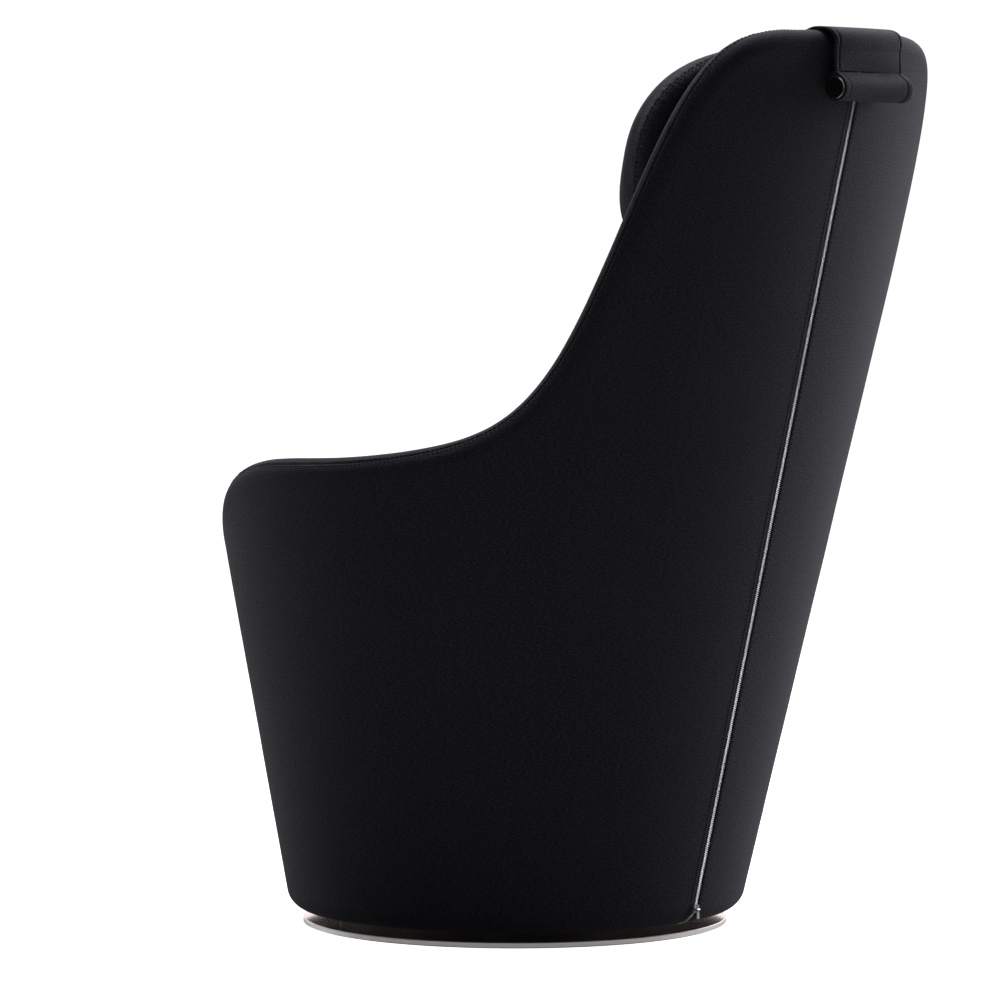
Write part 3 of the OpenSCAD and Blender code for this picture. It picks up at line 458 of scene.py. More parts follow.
def grid_faces(columns, rows, ring_u=False, ring_v=False):
    """Four-sided faces between neighbouring columns and rows of a grid."""
    i = np.arange(columns if ring_u else columns - 1)
    k = np.arange(rows if ring_v else rows - 1)
    i, k = [x.ravel() for x in np.meshgrid(i, k, indexing="ij")]
    j, m = (i + 1) % columns, (k + 1) % rows
    quads = np.stack([i * rows + k, i * rows + m, j * rows + m, j * rows + k], -1)
    return [tuple(int(x) for x in q) for q in quads]


def skin(name, face, depth, uv, ring=False):
    """A cloth of the given thickness behind a grid of points. A strip's ends are closed."""
    n = grid_normals(face, ring_u=ring)
    back = face - n * depth
    columns, rows = face.shape[:2]
    loop = np.concatenate([face, back[:, ::-1]], 1)
    uvs = np.concatenate([uv, uv[:, ::-1]], 1).reshape(-1, 2)
    faces = grid_faces(columns, 2 * rows, ring_u=ring, ring_v=True)
    if not ring:
        for i in (0, columns - 1):
            for k in range(rows - 1):
                quad = [i * 2 * rows + q for q in (k, k + 1, 2 * rows - 2 - k, 2 * rows - 1 - k)]
                faces.append(tuple(quad if i else quad[::-1]))
    piece = new_mesh(name, loop.reshape(-1, 3), faces, uvs)
    tidy_mesh(piece)
    return piece


def lathe(name, profile, sides, centre):
    """A round piece about an upright axis. Its profile is a closed line of (radius, height)."""
    profile = np.array(profile, float)
    turn = np.linspace(0, 2 * math.pi, sides, endpoint=False)
    p = np.stack([
        centre[0] + profile[None, :, 0] * np.cos(turn)[:, None],
        centre[1] + profile[None, :, 0] * np.sin(turn)[:, None],
        np.broadcast_to(profile[None, :, 1], (sides, len(profile))),
    ], -1)
    uv = grid_uv(p[..., 0], p[..., 1])
    steep = np.abs(np.gradient(profile[:, 1])) > np.abs(np.gradient(profile[:, 0]))
    side_uv = grid_uv(turn[:, None] * profile[:, 0].max(), run_along(profile)[None, :])
    pick = np.broadcast_to(steep, (sides, len(profile))).reshape(-1, 1)
    piece = new_mesh(name, p.reshape(-1, 3), grid_faces(sides, len(profile), True, True),
                     np.where(pick, side_uv, uv))
    tidy_mesh(piece)
    return piece


def tidy_mesh(piece):
    """Joins points that coincide and turns all faces outwards."""
    bm = bmesh.new()
    bm.from_mesh(piece.data)
    bmesh.ops.remove_doubles(bm, verts=bm.verts, dist=JOINED)
    bmesh.ops.recalc_face_normals(bm, faces=bm.faces)
    bm.to_mesh(piece.data)
    bm.free()
    piece.data.polygons.foreach_set("use_smooth", [True] * len(piece.data.polygons))
    piece.data.set_sharp_from_angle(angle=math.radians(SHARP))


def resample(line, pitch):
    """Points at an even pitch along a line, the direction at each, and how far along the line each lies."""
    line = np.asarray(line, float)
    run = run_along(line)
    count = max(2, int(run[-1] / pitch))
    at = (np.arange(count) + 0.5) * run[-1] / count
    near = pitch * 0.2
    way = points_at(at + near, run, line) - points_at(at - near, run, line)
    return points_at(at, run, line), unit(way), at


def stitch_row(line, normals, s):
    """Points and faces of a row of stitches that lie along a line on the cloth."""
    line, normals = np.asarray(line, float), np.asarray(normals, float)
    points, way, at = resample(line, s.stitch_pitch)
    out = points_at(at, run_along(line), normals)
    out = unit(out - way * np.sum(out * way, -1, keepdims=True))
    side = np.cross(way, out)
    # one stitch, as rings of points: place along it, size and height
    rings = [(-0.5, 0.15, -0.9), (-0.38, 0.85, -0.1), (0, 1, 0.25), (0.38, 0.85, -0.1), (0.5, 0.15, -0.9)]
    sides = 6
    turn = np.radians(np.arange(0, 360, 360 / sides))
    shape = np.array([(along * s.stitch_len, math.cos(t) * s.stitch_r * size,
                       s.stitch_r * (math.sin(t) * size + rise))
                      for along, size, rise in rings for t in turn])
    p = (points[:, None] + way[:, None] * shape[None, :, 0:1] + side[:, None] * shape[None, :, 1:2]
         + out[:, None] * shape[None, :, 2:3])
    count = len(shape)
    one = grid_faces(len(rings), sides, ring_v=True)
    one += [tuple(range(sides - 1, -1, -1)), tuple(range(count - sides, count))]
    faces = [tuple(q + n * count for q in f) for n in range(len(points)) for f in one]
    return p.reshape(-1, 3), faces


def beside_seam(p, n, run, away):
    """A line on a grid at a distance from the seam at its first row, and the normals along it."""
    k = np.clip(np.sum(run < away, 1), 1, run.shape[1] - 1)
    i = np.arange(len(p))
    f = np.clip((away - run[i, k - 1]) / np.maximum(run[i, k] - run[i, k - 1], 1e-9), 0, 1)[:, None]
    return p[i, k - 1] * (1 - f) + p[i, k] * f, n[i, k - 1] * (1 - f) + n[i, k] * f


def sew(name, rows, body, context):
    """One piece with rows of stitches on a body. Each row is a line and the cloth's normals along it."""
    s = context.scene.chair_seams
    points, faces = [], []
    for line, normals in rows:
        p, f = stitch_row(line, normals, s)
        start = sum(len(q) for q in points)
        points.append(p)
        faces += [tuple(x + start for x in q) for q in f]
    piece = new_mesh(name, np.concatenate(points), faces)
    piece.data.materials.append(thread_with_hole_shade_finish(context))
    if body:
        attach(piece, body)
    return piece


# Finishes


class Shader:
    """Makes the nodes of one material, or of the world, by short calls."""

    def __init__(self, name, kind="materials", surface="Principled BSDF"):
        self.data = getattr(bpy.data, kind).new(name)
        self.data.use_nodes = True
        self.tree = self.data.node_tree
        self.surface = self.tree.nodes[surface]

    def put(self, kind, inputs=None, **settings):
        """A new node. Inputs are values or other nodes' sockets, by name or number."""
        node = self.tree.nodes.new(kind)
        for key, value in settings.items():
            setattr(node, key, value)
        for key, value in (inputs or {}).items():
            self.join(value, node.inputs[key])
        return node

    def join(self, value, socket):
        """Links a node or socket to a socket, or sets the socket to a plain value."""
        if isinstance(value, bpy.types.NodeSocket):
            self.tree.links.new(value, socket)
        elif isinstance(value, bpy.types.Node):
            self.tree.links.new(value.outputs[0], socket)
        else:
            socket.default_value = value

    def place(self):
        """Each point's place on the piece, in metres."""
        return self.put("ShaderNodeTexCoord").outputs["Object"]

    def stretch(self, where, scale):
        """Places scaled differently along each axis."""
        return self.put("ShaderNodeMapping", {"Vector": where, "Scale": scale}).outputs[0]

    def math(self, operation, a, b):
        """Two values worked into one."""
        return self.put("ShaderNodeMath", {0: a, 1: b}, operation=operation).outputs[0]

    def add(self, *values):
        """The sum of two or more values."""
        total = values[0]
        for value in values[1:]:
            total = self.math("ADD", total, value)
        return total

    def times(self, a, b):
        """The product of two values."""
        return self.math("MULTIPLY", a, b)

    def mix(self, factor, a, b):
        """A colour between a and b."""
        node = self.put("ShaderNodeMix", data_type="RGBA")
        self.join(factor, node.inputs["Factor"])
        for value, key in ((a, "A"), (b, "B")):
            self.join(value if isinstance(value, bpy.types.NodeSocket) else (*value, 1.0), node.inputs[key])
        return node.outputs["Result"]

    def wave(self, where, scale, way, distortion, detail=2.0, detail_scale=1.0):
        """Bands along one way, from 0 to 1."""
        return self.put("ShaderNodeTexWave", {"Vector": where, "Scale": scale, "Distortion": distortion,
                                              "Detail": detail, "Detail Scale": detail_scale},
                        bands_direction=way).outputs["Fac"]

    def noise(self, where, scale, detail=2.0, rough=0.5):
        """Uneven patches, from 0 to 1."""
        return self.put("ShaderNodeTexNoise", {"Vector": where, "Scale": scale, "Detail": detail,
                                               "Roughness": rough}).outputs["Fac"]

    def spread(self, value, low, high, to_low=0.0, to_high=1.0):
        """A value spread from one range to another, and kept within it."""
        return self.put("ShaderNodeMapRange", {"Value": value, "From Min": low, "From Max": high,
                                               "To Min": to_low, "To Max": to_high}).outputs["Result"]

    def bump(self, height, strength, depth):
        """Small relief on the surface, depth metres deep at full strength."""
        node = self.put("ShaderNodeBump", {"Height": height, "Strength": strength, "Distance": depth})
        self.join(node, self.surface.inputs["Normal"])

    def set(self, **values):
        """Sets the surface's values, or links them."""
        for key, value in values.items():
            self.join(value, self.surface.inputs[key.replace("_", " ")])


def pitch_scale(pitch):
    """The wave scale that gives bands at this pitch in metres."""
    return 2 * math.pi / (20 * pitch)


def made_before(name):
    """The material of this name, if there is one."""
    return bpy.data.materials.get(name)


def ribbed_cloth(context):
    """Closely woven upholstery cloth with fine level ribs and a mix of dark yarns."""
    if made_before("ribbed_cloth"):
        return made_before("ribbed_cloth")
    f = context.scene.chair_finish
    m = Shader("ribbed_cloth")
    uv = m.put("ShaderNodeUVMap", uv_map="thread").outputs[0]
    wander = m.math("SUBTRACT", m.noise(uv, 90.0, 2.0), 0.5)
    shift = m.put("ShaderNodeCombineXYZ", {"X": m.times(wander, 0.0012), "Y": m.times(wander, 0.0010)})
    bend = m.put("ShaderNodeVectorMath", {0: uv, 1: shift}, operation="ADD").outputs[0]
    rib = m.wave(bend, pitch_scale(f.rib), "Y", 0.7, 1.0, 2.0)
    warp = m.wave(bend, pitch_scale(f.warp), "X", 1.0, 1.0, 2.0)
    yarn = m.noise(bend, 1000.0, 2.0, 0.6)
    heather = m.noise(m.stretch(bend, (270, 820, 1)), 1.0, 2.0, 0.6)
    patch = m.noise(m.place(), 7.0, 3.0, 0.55)
    shade = m.add(m.times(m.spread(heather, 0.38, 0.62), 0.64), m.times(m.spread(rib, 0.1, 0.9), 0.13),
                  m.times(m.spread(yarn, 0.35, 0.65), 0.22), m.times(m.spread(patch, 0.3, 0.7), 0.07))
    m.set(Base_Color=m.mix(shade, f.cloth_dark, f.cloth_light), Roughness=0.88, Specular_IOR_Level=0.08,
          Sheen_Weight=0.022, Sheen_Roughness=0.36, Sheen_Tint=(0.86, 0.87, 0.95, 1.0))
    m.bump(m.add(m.times(rib, 0.42), m.times(warp, 0.2), m.times(yarn, 0.35)), 0.55, 0.0005)
    return m.data


def thread_with_hole_shade_finish(context):
    """Twisted sewing thread, coloured darker than the cloth so that the stitches also give the painted shade
    of their holes.
    """
    if made_before("sewing_thread_with_hole_shade"):
        return made_before("sewing_thread_with_hole_shade")
    m = Shader("sewing_thread_with_hole_shade")
    place = m.place()
    twist = m.wave(place, 900.0, "DIAGONAL", 1.5)
    tone = m.noise(place, 300.0, 2.0)
    base = context.scene.chair_finish.thread
    # the thread's dark colour is real dark thread and also painted shade of the stitch holes
    m.set(Base_Color=m.mix(m.times(twist, m.spread(tone, 0.3, 0.7, 0.6, 1.0)),
                           [c * 0.5 for c in base], [c * 1.6 for c in base]),
          Roughness=0.75, Specular_IOR_Level=0.12)
    m.bump(twist, 0.5, 0.0002)
    return m.data


def lining_finish(context):
    """Plain black lining cloth with a fine criss-cross weave."""
    if made_before("black_lining"):
        return made_before("black_lining")
    m = Shader("black_lining")
    place = m.place()
    weave = m.times(*[m.wave(place, pitch_scale(0.0011), way, 0.4) for way in "XY"])
    dust = m.noise(place, 35.0, 4.0, 0.6)
    base = context.scene.chair_finish.lining
    m.set(Base_Color=m.mix(m.add(m.times(weave, 0.6), m.spread(dust, 0.45, 0.75, 0, 0.4)),
                           [c * 0.7 for c in base], [c * 4.5 for c in base]),
          Roughness=0.93, Sheen_Weight=0.08, Sheen_Roughness=0.5)
    m.bump(weave, 0.5, 0.0003)
    return m.data


def steel_finish(context):
    """Bare turned steel."""
    return metal_finish("turned_steel", context.scene.chair_finish.steel, 0.35, 0.4)


def zip_finish(context):
    """Worn nickel of the zip's metal parts."""
    return metal_finish("zip_nickel", context.scene.chair_finish.bright, 0.42, 0.0, 0.35)


def metal_finish(name, base, rough, brushed=0.0, worn=0.25):
    """Metal with faint brushing, smudges and small scratches."""
    if made_before(name):
        return made_before(name)
    m = Shader(name)
    place = m.place()
    smudge = m.noise(place, 9.0, 4.0, 0.6)
    fine = m.noise(m.stretch(place, (6, 6, 900)), 1.0, 3.0, 0.6)
    speck = m.noise(place, 1400.0, 2.0, 0.6)
    grain = m.add(m.times(m.math("SUBTRACT", fine, 0.5), brushed * 0.25),
                  m.times(m.math("SUBTRACT", speck, 0.5), 0.05))
    gloss = m.spread(smudge, 0.25, 0.8, rough * (1 - worn), rough * (1 + worn))
    m.set(Base_Color=m.mix(m.spread(smudge, 0.3, 0.75), base, [c * (1 - 0.25 * worn) for c in base]),
          Metallic=1.0, Roughness=m.add(gloss, grain))
    m.bump(m.add(m.times(fine, brushed), m.times(speck, 0.3)), 0.12, 0.0002)
    return m.data


def plate_finish(context):
    """The base plate: a dark polished top, smudged and dusty, and a bare satin edge."""
    f = context.scene.chair_finish
    m = Shader("polished_plate")
    where = m.put("ShaderNodeTexCoord")
    place = where.outputs["Object"]
    top = m.spread(m.put("ShaderNodeSeparateXYZ", {"Vector": where.outputs["Normal"]}).outputs["Z"], 0.6, 0.9)
    smudge = m.noise(place, 6.0, 4.0, 0.6)
    speck = m.noise(place, 700.0, 2.0, 0.6)
    turned = m.noise(m.stretch(place, (4, 4, 2200)), 1.0, 3.0, 0.6)
    colour_top = m.mix(m.spread(smudge, 0.3, 0.75), f.plate, [c * 0.8 for c in f.plate])
    colour_edge = m.mix(m.spread(turned, 0.3, 0.7), [c * 0.85 for c in f.plate_edge], f.plate_edge)
    rough_top = m.add(m.times(m.spread(smudge, 0.35, 0.7), 0.06),
                      m.times(m.spread(speck, 0.55, 0.75), 0.08), 0.09)
    m.set(Base_Color=m.mix(top, colour_edge, colour_top), Metallic=1.0,
          Roughness=m.add(m.times(top, rough_top), m.times(m.math("SUBTRACT", 1.0, top), 0.42)))
    m.bump(m.add(turned, m.times(speck, 0.3)), 0.12, 0.00005)
    return m.data


def plastic_finish(name, base, rough, grain=0.3, coat=0.0):
    """Moulded plastic or paint with a fine grain and faint handling marks."""
    if made_before(name):
        return made_before(name)
    m = Shader(name)
    place = m.place()
    pore = m.put("ShaderNodeTexVoronoi", {"Vector": place, "Scale": 900.0}).outputs["Distance"]
    mark = m.noise(place, 22.0, 5.0, 0.6)
    m.set(Base_Color=m.mix(m.spread(mark, 0.35, 0.75), base, [min(1, c * 1.5 + 0.002) for c in base]),
          Roughness=m.spread(mark, 0.3, 0.75, rough * 0.8, min(1, rough * 1.25)),
          Coat_Weight=coat, Coat_Roughness=0.05)
    m.bump(pore, grain, 0.00015)
    return m.data


def board_finish():
    """Birch plywood: pale grain on the faces."""
    if made_before("birch_board"):
        return made_before("birch_board")
    m = Shader("birch_board")
    grain = m.noise(m.stretch(m.place(), (2, 26, 300)), 3.0, 5.0, 0.6)
    m.set(Base_Color=m.mix(m.spread(grain, 0.3, 0.75), (0.56, 0.40, 0.23), (0.36, 0.22, 0.11)), Roughness=0.6)
    m.bump(grain, 0.2, 0.0004)
    return m.data


def paint_nodes(material, *nodes):
    """Gives CAD nodes a finish of the scene's own."""
    for n in nodes:
        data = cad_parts[n].data
        data.materials.clear()
        data.materials.append(material)


# Covers


def half_angles():
    """Angles of the crest from the back's middle to the front's middle, closer where the rim turns."""
    return np.concatenate([np.arange(3.5, 18, 1.45), np.arange(18, 62, 0.8), np.arange(62, 112, 1.6),
                           np.arange(112, 152, 1.0), np.arange(152, 180, 1.75)])


def hump(at, middle, width):
    """A smooth rise to 1 at the middle, and back to 0 on both sides."""
    return np.exp(-((at - middle) / width) ** 2)


def waves(p, sizes, seed):
    """Soft uneven waves of the cloth. sizes are pairs of a depth and a number of waves for each metre."""
    return sum(depth * cloth_noise(p, scale, seed + k) for k, (depth, scale) in enumerate(sizes))


def seam_dip(d, s):
    """How far a seam pulls the cloth in, at distance d from it."""
    return -s.groove * hump(d, 0, s.groove_w)


def puckers(away, start, u, wander, s):
    """Small folds across a seam: away is the distance from it, u the distance along it."""
    return s.pucker * hump(away, start, 0.004) * np.sin(u / PUCKER_WAVE + 3 * wander)


def edge_stitches(p, n, rolled, run, s):
    """A line for the stitches beside the seam that ends a cover's rolled part, and the normals along it."""
    line, out = beside_seam(p[:, rolled][:, ::-1], n[:, rolled][:, ::-1], run[:, ::-1], s.stitch_off)
    return line + out * s.stitch_r * STITCH_RISE, out


class CHAIR_OT_outer_cover(bpy.types.Operator):
    """Builds the outer cover, open for the zip at the middle of the back."""

    bl_idname = "chair.outer_cover"
    bl_label = "Outer Cover"

    def execute(self, context):
        s, seam = context.scene.chair_shell, context.scene.chair_seams
        slot = context.scene.chair_zip.slot_half
        r = s.bottom_round
        low = s.underside_z + r
        under = np.linspace(s.turn_in, r, 6)[:-1]
        bend = np.arange(90, -0.1, -7.5)
        rise = np.concatenate([[0.002, 0.006, 0.012, 0.022], np.linspace(0.045, 0.955, 34),
                               [0.975, 0.986, 0.990, 0.994, 0.998]])
        roll = np.concatenate([np.linspace(0, 0.72, 14), np.linspace(0.76, 1, 13)])
        open_rows = np.concatenate([
            np.interp(under, [r, s.turn_in], [slot, CLOSED_HALF]), np.full(len(bend), slot),
            np.interp(rise, [0.986, 0.994], [slot, CLOSED_HALF]), np.full(len(roll), CLOSED_HALF)])
        rolled = slice(-len(roll), None)

        def columns(a):
            axis = rim_axis(a, s)
            c, top = axis[0][:, None], axis[1][:, None]
            t = np.radians(bend)[None, :]
            turn = -90 + (90 - rim_seam(a, s))[:, None] * roll[None, :]
            parts = [
                spot(c, np.full_like(c, s.underside_z), under[None, :], s),
                spot(c, low - r * np.sin(t), r - r * np.cos(t), s),
                spot(c, low + (top - low) * rise[None, :], 0.0, s),
                rim_point([x[:, None] for x in axis], turn, s),
            ]
            return np.concatenate(parts, 1)

        middle = columns(np.array([0.0]))[0]
        reach = middle[:, 1] - s.cone_lean * middle[:, 2]
        near = []
        for step in EDGE_STEPS:
            near.append(beside_middle(open_rows + step, middle[:, 2], reach, s))
        right = np.concatenate([np.array(near), columns(half_angles())], 0)
        p = np.concatenate([right, columns(np.array([180.0])), right[::-1] * np.array([-1, 1, 1])], 0)
        n = grid_normals(p)
        seam_at = np.concatenate([np.zeros(len(near)), half_angles(), [180.0], half_angles()[::-1],
                                  np.zeros(len(near))])
        seam_turn = 90 - rim_seam(seam_at, s)[:, None]
        seam_run = np.radians(seam_turn * (1 - roll)[None, :]) * wall(p[:, rolled, 2], s) / 2
        run, u = run_along(p, 1), around(p, s) * shell_radius(p[..., 2], s)
        # how far the cloth stands out: soft waves, puckers at the seam, and edges folded in along the zip
        d = waves(p, OUTER_WAVES, 1)
        d[:, rolled] += seam_dip(seam_run, seam)
        d[:, rolled] += puckers(seam_run, 0.005, u[:, rolled], cloth_noise(p[:, rolled], 60.0, 3), seam)
        fold = -0.0014 * hump(EDGE_STEPS, 0, 0.0006) + 0.0003 * hump(EDGE_STEPS, 0.0018, 0.001)
        d[:len(fold)] += fold[:, None]
        d[-len(fold):] += fold[::-1, None]
        p = p + n * d[..., None]
        piece = skin("outer_cover_cloth", p, s.cover_t, np.stack([u, run], -1))
        piece.data.materials.append(ribbed_cloth(context))
        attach(piece, "chair")
        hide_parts("outer_cover")
        # rows of stitches beside the rim's seam and on both sides of the zip
        n = grid_normals(p)
        rows = [edge_stitches(p, n, rolled, seam_run, seam)]
        up = slice(len(under) + 3, len(under) + len(bend) + len(rise) - 3)
        for i in (6, len(p) - 7):
            rows.append((p[i, up] + n[i, up] * seam.stitch_r * STITCH_RISE, n[i, up]))
        sew("outer_cover_stitches", rows, "chair", context)
        return {"FINISHED"}


class CHAIR_OT_inner_cover(bpy.types.Operator):
    """Builds the inner cover, which rolls over the rim and runs down the inside to the deck."""

    bl_idname = "chair.inner_cover"
    bl_label = "Inner Cover"

    def execute(self, context):
        s, seam = context.scene.chair_shell, context.scene.chair_seams
        rise = np.linspace(0, 0.985, 30)
        roll = np.concatenate([np.linspace(0, 0.8, 18), np.linspace(0.82, 1, 14)])
        rolled = slice(-len(roll), None)
        half = np.concatenate([[0.0], half_angles(), [180.0]])
        axis = rim_axis(half, s)
        c, top = axis[0][:, None], axis[1][:, None]
        low = s.deck_z + 0.0008
        z = low + (top - low) * rise[None, :]
        sweep = (90 + rim_seam(half, s) - 0.8)[:, None]
        turn = 90 - sweep * roll[None, :]
        right = np.concatenate([spot(c, z, wall(z, s), s), rim_point([x[:, None] for x in axis], turn, s)], 1)
        p = np.concatenate([right, right[-2:0:-1] * np.array([-1, 1, 1])], 0)
        n = -grid_normals(p, ring_u=True)
        sweep = np.concatenate([sweep, sweep[-2:0:-1]])
        seam_run = np.radians(sweep * (1 - roll)[None, :]) * wall(p[:, rolled, 2], s) / 2
        run, u = run_along(p, 1), around(p, s) * (shell_radius(p[..., 2], s) - wall(p[..., 2], s) / 2)
        # how far the cloth stands out: soft waves, puckers at the seam, and fullness beside it
        d = waves(p, INNER_WAVES, 5)
        d[:, rolled] += seam_dip(seam_run, seam) + 0.0008 * hump(seam_run, 0.012, 0.007)
        d[:, rolled] += puckers(seam_run, 0.004, u[:, rolled], cloth_noise(p[:, rolled], 60.0, 4), seam)
        p = p + n * d[..., None]
        piece = skin("inner_cover_cloth", p[::-1], s.cover_t, np.stack([u, run], -1)[::-1], ring=True)
        piece.data.materials.append(ribbed_cloth(context))
        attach(piece, "chair")
        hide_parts("inner_cover", "foam_back", "foam_side_left", "foam_side_right", "foam_front")
        line, out = edge_stitches(p, -grid_normals(p, ring_u=True), rolled, seam_run, seam)
        sew("rim_stitches", [(closed_line(line), closed_line(out))], "chair", context)
        return {"FINISHED"}


# Cushions


def points_of(piece):
    """A piece's points as an array."""
    return np.array([v.co for v in piece.data.vertices])


def move_points(piece, co):
    """Puts a piece's points in new places."""
    piece.data.vertices.foreach_set("co", co.ravel())
    piece.data.update()


def normals_of(piece):
    """The normals at a piece's points."""
    return np.array([v.normal for v in piece.data.vertices])


def search_tree(points):
    """A tree that finds the nearest of the points."""
    tree = KDTree(len(points))
    for i, q in enumerate(points):
        tree.insert(Vector(q), i)
    tree.balance()
    return tree


def evened(piece, move, times):
    """Each point's move, averaged again and again with its neighbours', which takes small wrinkles out."""
    edges = np.array([e.vertices[:] for e in piece.data.edges])
    ends, starts = np.concatenate([edges, edges[:, ::-1]]).T
    count = np.bincount(ends, minlength=len(move))
    for _ in range(times):
        near = np.stack([np.bincount(ends, move[starts, k], len(move)) / count for k in range(3)], -1)
        move = (move + near) / 2
    return move


def stuff(piece, pinned, puff):
    """Lets the filling push the cloth out between its seams. pinned tells which points the seams hold."""
    piece.data.remesh_voxel_size = VOXEL
    context = bpy.context
    context.view_layer.objects.active = piece
    bpy.ops.object.select_all(action="DESELECT")
    piece.select_set(True)
    bpy.ops.object.voxel_remesh()
    rest = points_of(piece)
    hold = piece.vertex_groups.new(name="seams")
    hold.add([int(i) for i in np.where(pinned(rest))[0]], 1.0, "REPLACE")
    cloth = piece.modifiers.new("filling", "CLOTH")
    for key, value in FILLING.items():
        setattr(cloth.settings, key, value)
    cloth.settings.effector_weights.gravity = 0
    cloth.collision_settings.use_collision = False
    cloth.point_cache.frame_start, cloth.point_cache.frame_end = 1, STUFF_FRAMES
    for step in range(1, STUFF_FRAMES + 1):
        context.scene.frame_set(step)
    shape = piece.evaluated_get(context.evaluated_depsgraph_get()).to_mesh()
    move = np.array([v.co for v in shape.vertices]) - rest
    piece.modifiers.remove(cloth)
    context.scene.frame_set(1)
    move *= np.minimum(1, puff / np.maximum(np.linalg.norm(move, axis=1, keepdims=True), 1e-9))
    move_points(piece, rest + evened(piece, move, EVEN_TIMES))
    piece.vertex_groups.clear()
    soften = piece.modifiers.new("finer", "SUBSURF")
    soften.levels = soften.render_levels = 1
    bpy.ops.object.modifier_apply(modifier=soften.name)
    relax = piece.modifiers.new("relax", "SMOOTH")
    relax.factor, relax.iterations = 0.5, 4
    bpy.ops.object.modifier_apply(modifier=relax.name)


def press_seams(piece, lines, s):
    """Pulls the cloth in along seam lines, and puckers it a little beside them."""
    co = points_of(piece)
    laid = [on_cloth(piece, line)[0] for line in lines]
    tree = search_tree(np.concatenate([resample(line, 0.001)[0] for line in laid]))
    found = [tree.find(Vector(q)) for q in co]
    gap = np.array([f[2] for f in found])
    at = np.array([f[1] for f in found])
    d = seam_dip(gap, s) * 1.1
    d += s.pucker * 1.6 * hump(gap, 0.006, 0.005) * np.sin(at * 0.62 + 4 * cloth_noise(co, 50.0, 7))
    move_points(piece, co + normals_of(piece) * d[:, None])


def on_cloth(piece, line, lift=0.0):
    """A line laid on a piece's surface, and the surface's normals along it."""
    mesh = piece.data
    tree = BVHTree.FromPolygons([v.co for v in mesh.vertices], [p.vertices for p in mesh.polygons])
    points, normals = [], []
    for q in line:
        nearest, normal, _, _ = tree.find_nearest(Vector(q))
        points.append(nearest + normal * lift)
        normals.append(normal)
    return np.array(points), np.array(normals)


def closed_line(points):
    """A line that ends where it starts."""
    return np.concatenate([points, points[:1]])


def lay_thread_uv(piece, pairs):
    """Lays the weave on a rebuilt piece. pairs gives a corner's place in it from its point and normal."""
    mesh = piece.data
    layer = mesh.uv_layers.new(name="thread")
    corner = np.zeros(len(mesh.loops), np.int32)
    mesh.loops.foreach_get("vertex_index", corner)
    corners = [p.loop_total for p in mesh.polygons]
    normals = np.repeat(np.array([p.normal for p in mesh.polygons]), corners, axis=0)
    layer.data.foreach_set("uv", pairs(points_of(piece)[corner], normals).astype(np.float32).ravel())


def closed_rings(name, rings):
    """A closed mesh through rings of points, with a point at each end ring's middle."""
    rings = np.array(rings)
    count, sides = rings.shape[:2]
    points = list(rings.reshape(-1, 3)) + [rings[0].mean(0), rings[-1].mean(0)]
    faces = grid_faces(count, sides, ring_v=True)
    for i in range(sides):
        k = (i + 1) % sides
        faces.append((count * sides, k, i))
        faces.append((count * sides + 1, (count - 1) * sides + i, (count - 1) * sides + k))
    piece = new_mesh(name, points, faces)
    tidy_mesh(piece)
    return piece


def smooth_steps(steps, count):
    """The steps' values, joined by a smooth curve through them."""
    steps = np.array(steps, float)
    at = np.linspace(0, len(steps) - 1, count)
    i = np.clip(at.astype(int), 0, len(steps) - 2)
    f = (at - i)[:, None]
    padded = np.concatenate([steps[:1], steps, steps[-1:]])
    a, b, c, d = padded[i], padded[i + 1], padded[i + 2], padded[i + 3]
    return 0.5 * (2 * b + (c - a) * f + (2 * a - 5 * b + 4 * c - d) * f ** 2
                  + (3 * b - a - 3 * c + d) * f ** 3)


def cushion_outline(o, s, c):
    """The seat cushion's half outline, o metres inside its face, its seams' places and its middle."""
    floor_z = s.deck_z + CUSHION_LIFT
    middle = s.deck_z + s.wall_low
    top = floor_z + c.side

    def edge(z):
        return shell_radius(z, s) - wall(z, s) - c.gap - c.bulge - s.cone_lean * abs(z - middle)

    low, high, r = edge(floor_z), edge(top), c.rounding
    points = [(0.001 + (low - r) * t, floor_z + o) for t in np.linspace(0, 1, 16)[:-1]]
    points += [(low - r + (r - o) * math.sin(t), floor_z + r - (r - o) * math.cos(t))
               for t in np.radians(np.arange(0, 91, 15))]
    points += [(low + (high - low) * t + c.bulge * math.sin(math.pi * t) - o,
                floor_z + r + (c.side - 2 * r) * t) for t in np.linspace(0, 1, 10)[1:-1]]
    points += [(high - r + (r - o) * math.sin(t), top - r + (r - o) * math.cos(t))
               for t in np.radians(np.arange(90, -1, -15))]
    points += [(max(0.001, (high - r) * t), top - o + c.crown * (1 - t ** 2.2))
               for t in np.linspace(1, 0, 20)[1:]]
    seams = [(low - r * 0.35, floor_z + r * 0.35), (high - r * 0.32, top - r * 0.30)]
    return points, seams, s.cone_lean * middle


